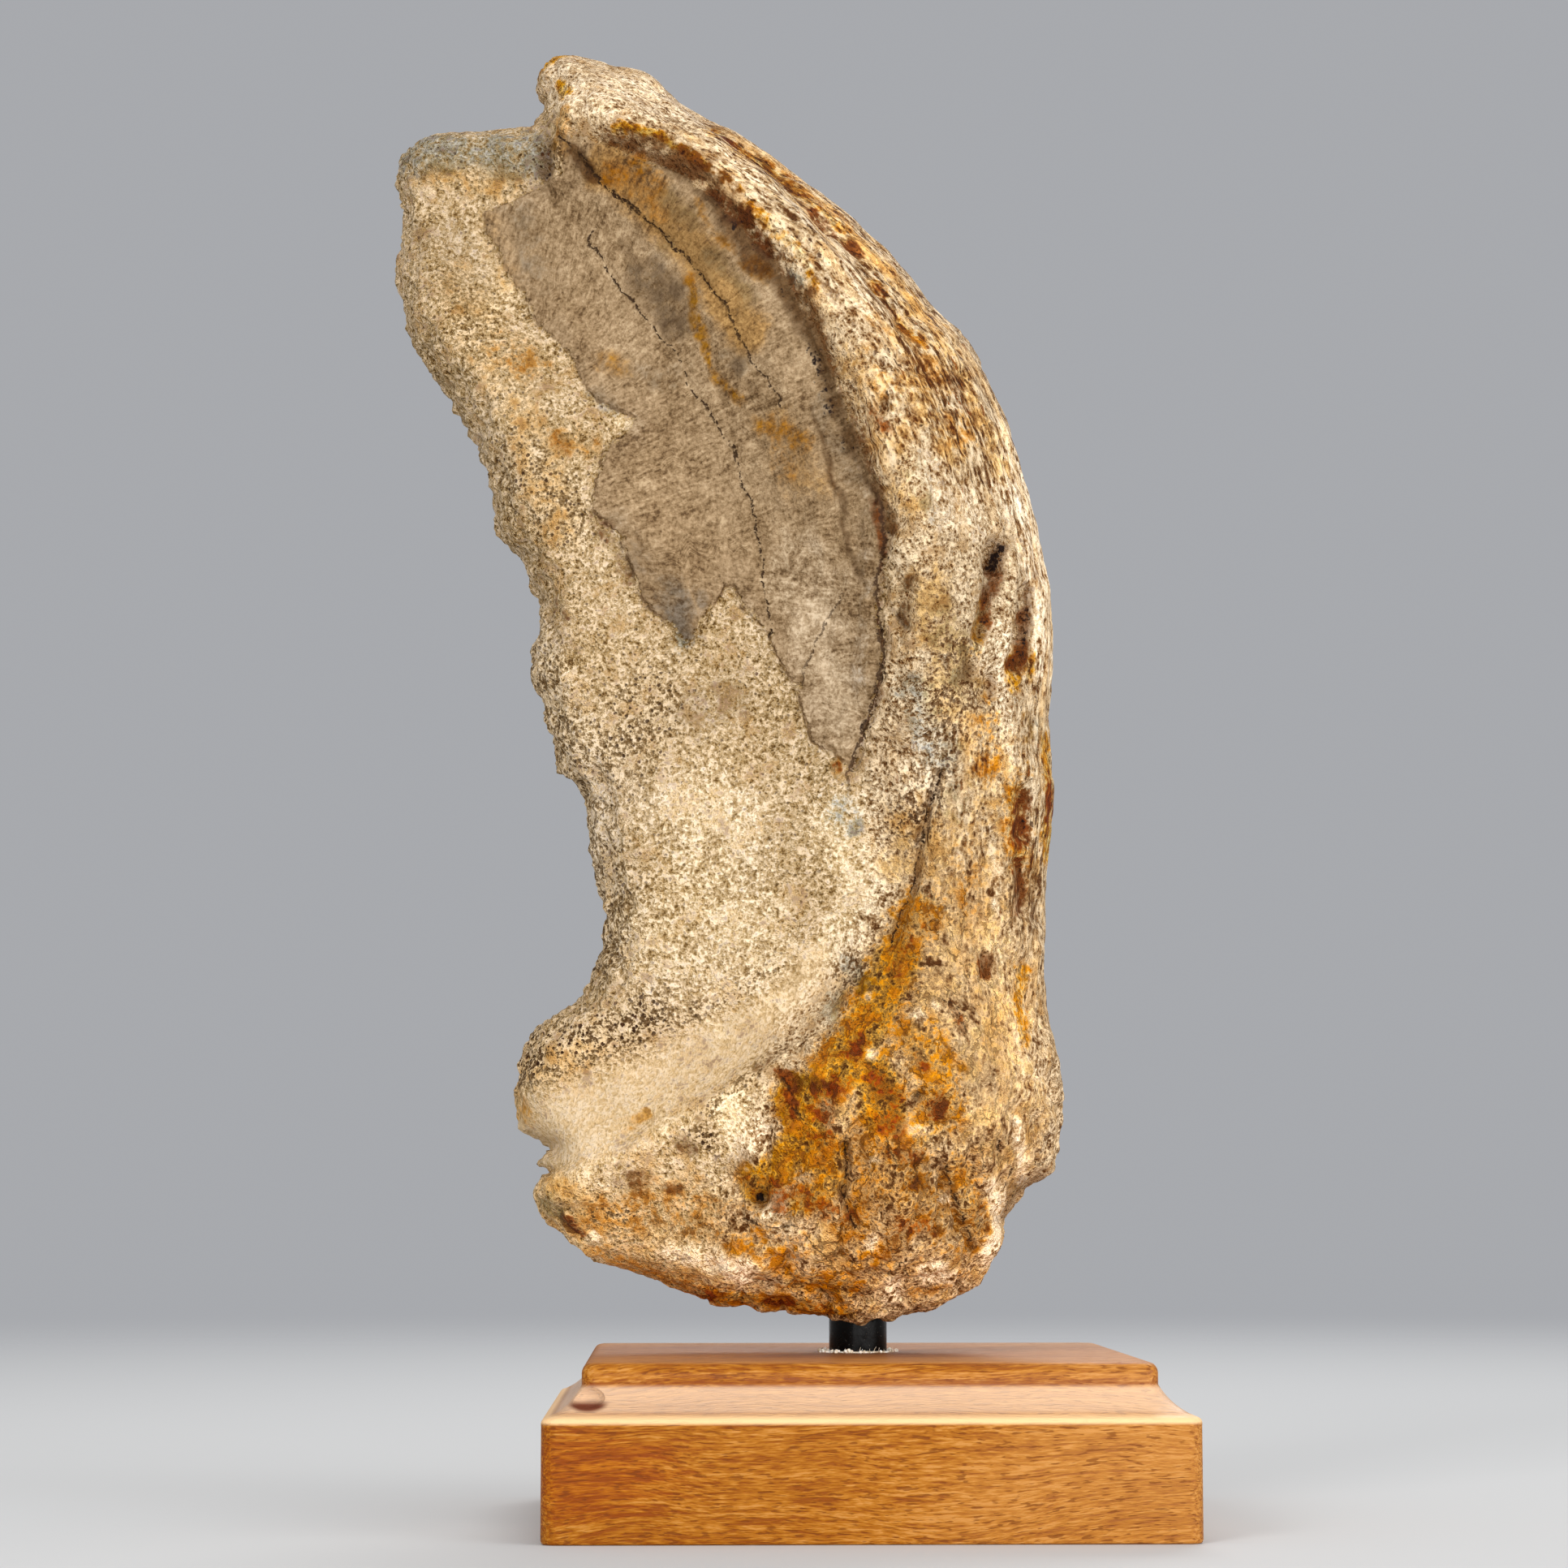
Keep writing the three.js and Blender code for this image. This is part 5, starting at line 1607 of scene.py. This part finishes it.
# Painted highlight: the cove is paled towards cream, and it is also made less rough.
cove_sheen = w.times(w.step(z, *COVE_BOTTOM), w.step(z, *COVE_TOP))
knock_middle = GOUGE + Vector((0, 0, -0.0006))
knock = w.step(w.far_from(place, knock_middle, (0.0034, 0.0034, 0.0024)), 1.15, 0.75)
# Each row is where a colour lies, how strong it is, and the colour, in working order.
WOOD_LAYERS = [
    (paler, 0.16, (214, 158, 100)),
    (fleck, 0.6, (110, 54, 14)),
    # painted shadow under the step
    (shadow_under_step, 0.5, (128, 62, 24)),
    # painted highlight on the arris
    (arris_highlight, 0.9, (246, 204, 150)),
    # Painted light: the top face is lightened.
    (w.step(z, *TOP_FACE), 0.25, (224, 166, 118)),
    # painted highlight in the cove
    (cove_sheen, 0.6, (230, 198, 166)),
    (w.times(knock, w.step(z, 0.0228, 0.0217)), 0.95, (92, 28, 2)),
]
for mask, strength, layer in WOOD_LAYERS:
    colour = w.mix(w.times(mask, strength), colour, linear(*layer))
shine = w.plus(0.5, w.times(w.plus(fleck, knock), 0.2), w.times(cove_sheen, -0.2))
w.shader.inputs["Specular IOR Level"].default_value = 0.13
w.shader.inputs["Coat Weight"].default_value = 0.06
w.shader.inputs["Coat Roughness"].default_value = 0.16
w.cover(plinth, colour, shine, w.bump(w.blend((threads, 0.4), (fleck, -1.0)), 0.6, 0.00006))

# %% [markdown]
# ## The post
#
# The post is a steel rod with satin black paint, its ends lightly chamfered so that it goes into both
# holes. A cylinder is added at its size and the loops at its two ends are bevelled. The paint is a
# near black with a faint uneven shine, brush lines round the rod and a few specks of dust.

# %% Post
POST_CHAMFER = 0.5 * MM
post = new_piece(
    "black_rod", bpy.ops.mesh.primitive_cylinder_add, vertices=72,
    radius=(post_high.x - post_low.x) / 2, depth=post_high.z - post_low.z, location=post_middle)
fix_place(post)
in_edit("EDGE")
edges_where(post.data, lambda a, b: abs(a.z - b.z) < 0.1 * MM)
bpy.ops.object.mode_set(mode="EDIT")
bpy.ops.mesh.bevel(offset=POST_CHAMFER, segments=3, affect="EDGES")
bpy.ops.object.mode_set(mode="OBJECT")
bpy.ops.object.shade_smooth_by_angle(angle=math.radians(30))
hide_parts("post")
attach(post, "root")
print("post:", len(post.data.polygons), "faces")

# %% Black paint
p = Finish("black_paint")
place = p.place()
mist = p.noise(place, 700, 2, 0.6)
drawn = p.noise(p.stretch(place, (1, 1, 0.03)), 900, 1)
dust = p.noise(place, 2600, 1)
colour = p.mix(p.step(mist, -1.5, 1.5), linear(1, 1, 1), linear(4, 4, 3))
colour = p.mix(p.times(p.step(dust, 2.1, 2.8), 0.2), colour, linear(120, 112, 100))
p.shader.inputs["Specular IOR Level"].default_value = 0.12
relief = p.bump(p.plus(drawn, p.times(mist, 0.4)), 0.2, 0.00002)
p.cover(post, colour, p.plus(0.24, p.times(mist, 0.03)), relief)

# %% [markdown]
# ## Dried glue and splinters
#
# Where the post enters the plinth, glue has squeezed out and dried in pale crumbs, and drilling has
# left a few splinters. A torus makes the uneven bead of glue. One crumb and one splinter are modelled
# once, then copied round it, turned and sized by a seeded random choice, and joined into one piece.

# %% Glue bead, crumbs and splinters
BEAD_RADIUS = 0.32 * MM
BEAD_MIDDLE = 5.35 * MM
glue_rng = np.random.default_rng(23)
foot_of_post = Vector((0, 0, plinth_high.z))
glue = new_piece(
    "dried_glue", bpy.ops.mesh.primitive_torus_add, major_radius=HOLE_RADIUS,
    minor_radius=BEAD_RADIUS, major_segments=96, minor_segments=10, location=foot_of_post)
fix_place(glue)
places = read_places(glue.data)
bead = places - np.array(foot_of_post)
uneven = 1 + 0.45 * lumps(places, 2.2 * MM, 61) + 0.3 * lumps(places, 0.8 * MM, 63)
ring_reach = np.hypot(bead[:, 0], bead[:, 1])
ring_middle = bead[:, :2] / ring_reach[:, None] * BEAD_MIDDLE
bead[:, :2] = ring_middle + (bead[:, :2] - ring_middle) * (uneven * 1.15)[:, None]
bead[:, 2] *= uneven * 0.8
write_places(glue.data, bead + np.array(foot_of_post))
print("bead of glue:", len(glue.data.vertices), "vertices")

# %% One crumb and one splinter
crumb = new_piece(
    "crumb", bpy.ops.mesh.primitive_ico_sphere_add, subdivisions=2, radius=BEAD_RADIUS)
places = read_places(crumb.data)
write_places(crumb.data, places * (1 + 0.5 * lumps(places, 0.25 * MM, 71))[:, None])
splinter = new_piece(
    "splinter", bpy.ops.mesh.primitive_cone_add, vertices=5, radius1=0.13 * MM,
    radius2=0.03 * MM, depth=1.0 * MM)
in_edit("FACE")
for face in splinter.data.polygons:
    face.select = face.normal.z > 0.9
bpy.ops.object.mode_set(mode="EDIT")
bpy.ops.mesh.extrude_region_move(TRANSFORM_OT_translate={"value": (0.09 * MM, 0.03 * MM, 0.35 * MM)})
bpy.ops.object.mode_set(mode="OBJECT")
print("crumb:", len(crumb.data.polygons), "faces, splinter:", len(splinter.data.polygons))

# %% Scatter them and join them to the bead
CRUMBS = 52
SPLINTERS = 16
# How near and how far from the post's middle they lie, in millimetres.
CRUMB_REACH = (5.2, 6.9)
SPLINTER_REACH = (5.2, 6.2)
bits = []
for number in range(CRUMBS + SPLINTERS):
    first = crumb if number < CRUMBS else splinter
    bit = first.copy()
    bit.data = first.data.copy()
    bpy.context.collection.objects.link(bit)
    turn = glue_rng.uniform(0, 2 * math.pi)
    reach = glue_rng.uniform(*(CRUMB_REACH if number < CRUMBS else SPLINTER_REACH)) * MM
    lift = glue_rng.uniform(0.0, 0.35) * MM
    bit.location = foot_of_post + Vector((reach * math.cos(turn), reach * math.sin(turn), lift))
    bit.rotation_euler = glue_rng.uniform(-0.7, 0.7, 3)
    bit.scale = Vector((1, 1, 1)) * glue_rng.uniform(0.45, 1.25)
    bits.append(bit)
for first in (crumb, splinter):
    bpy.data.objects.remove(first)
bpy.ops.object.select_all(action="DESELECT")
for bit in bits:
    bit.select_set(True)
glue.select_set(True)
bpy.context.view_layer.objects.active = glue
bpy.ops.object.join()
bpy.ops.object.shade_smooth_by_angle(angle=math.radians(50))
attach(glue, "root")
print("glue, crumbs and splinters:", len(glue.data.polygons), "faces")

# %% Glue material
g = Finish("dried_glue")
place = g.place()
dirt = g.noise(place, 900, 2, 0.6)
colour = g.ramp(dirt, -2, 2, [(190, 166, 134), (232, 218, 196), (250, 246, 236)])
g.shader.inputs["Subsurface Weight"].default_value = 0.15
g.shader.inputs["Subsurface Radius"].default_value = (0.0006, 0.0004, 0.0003)
g.cover(glue, colour, 0.55, g.bump(dirt, 0.5, 0.0001))
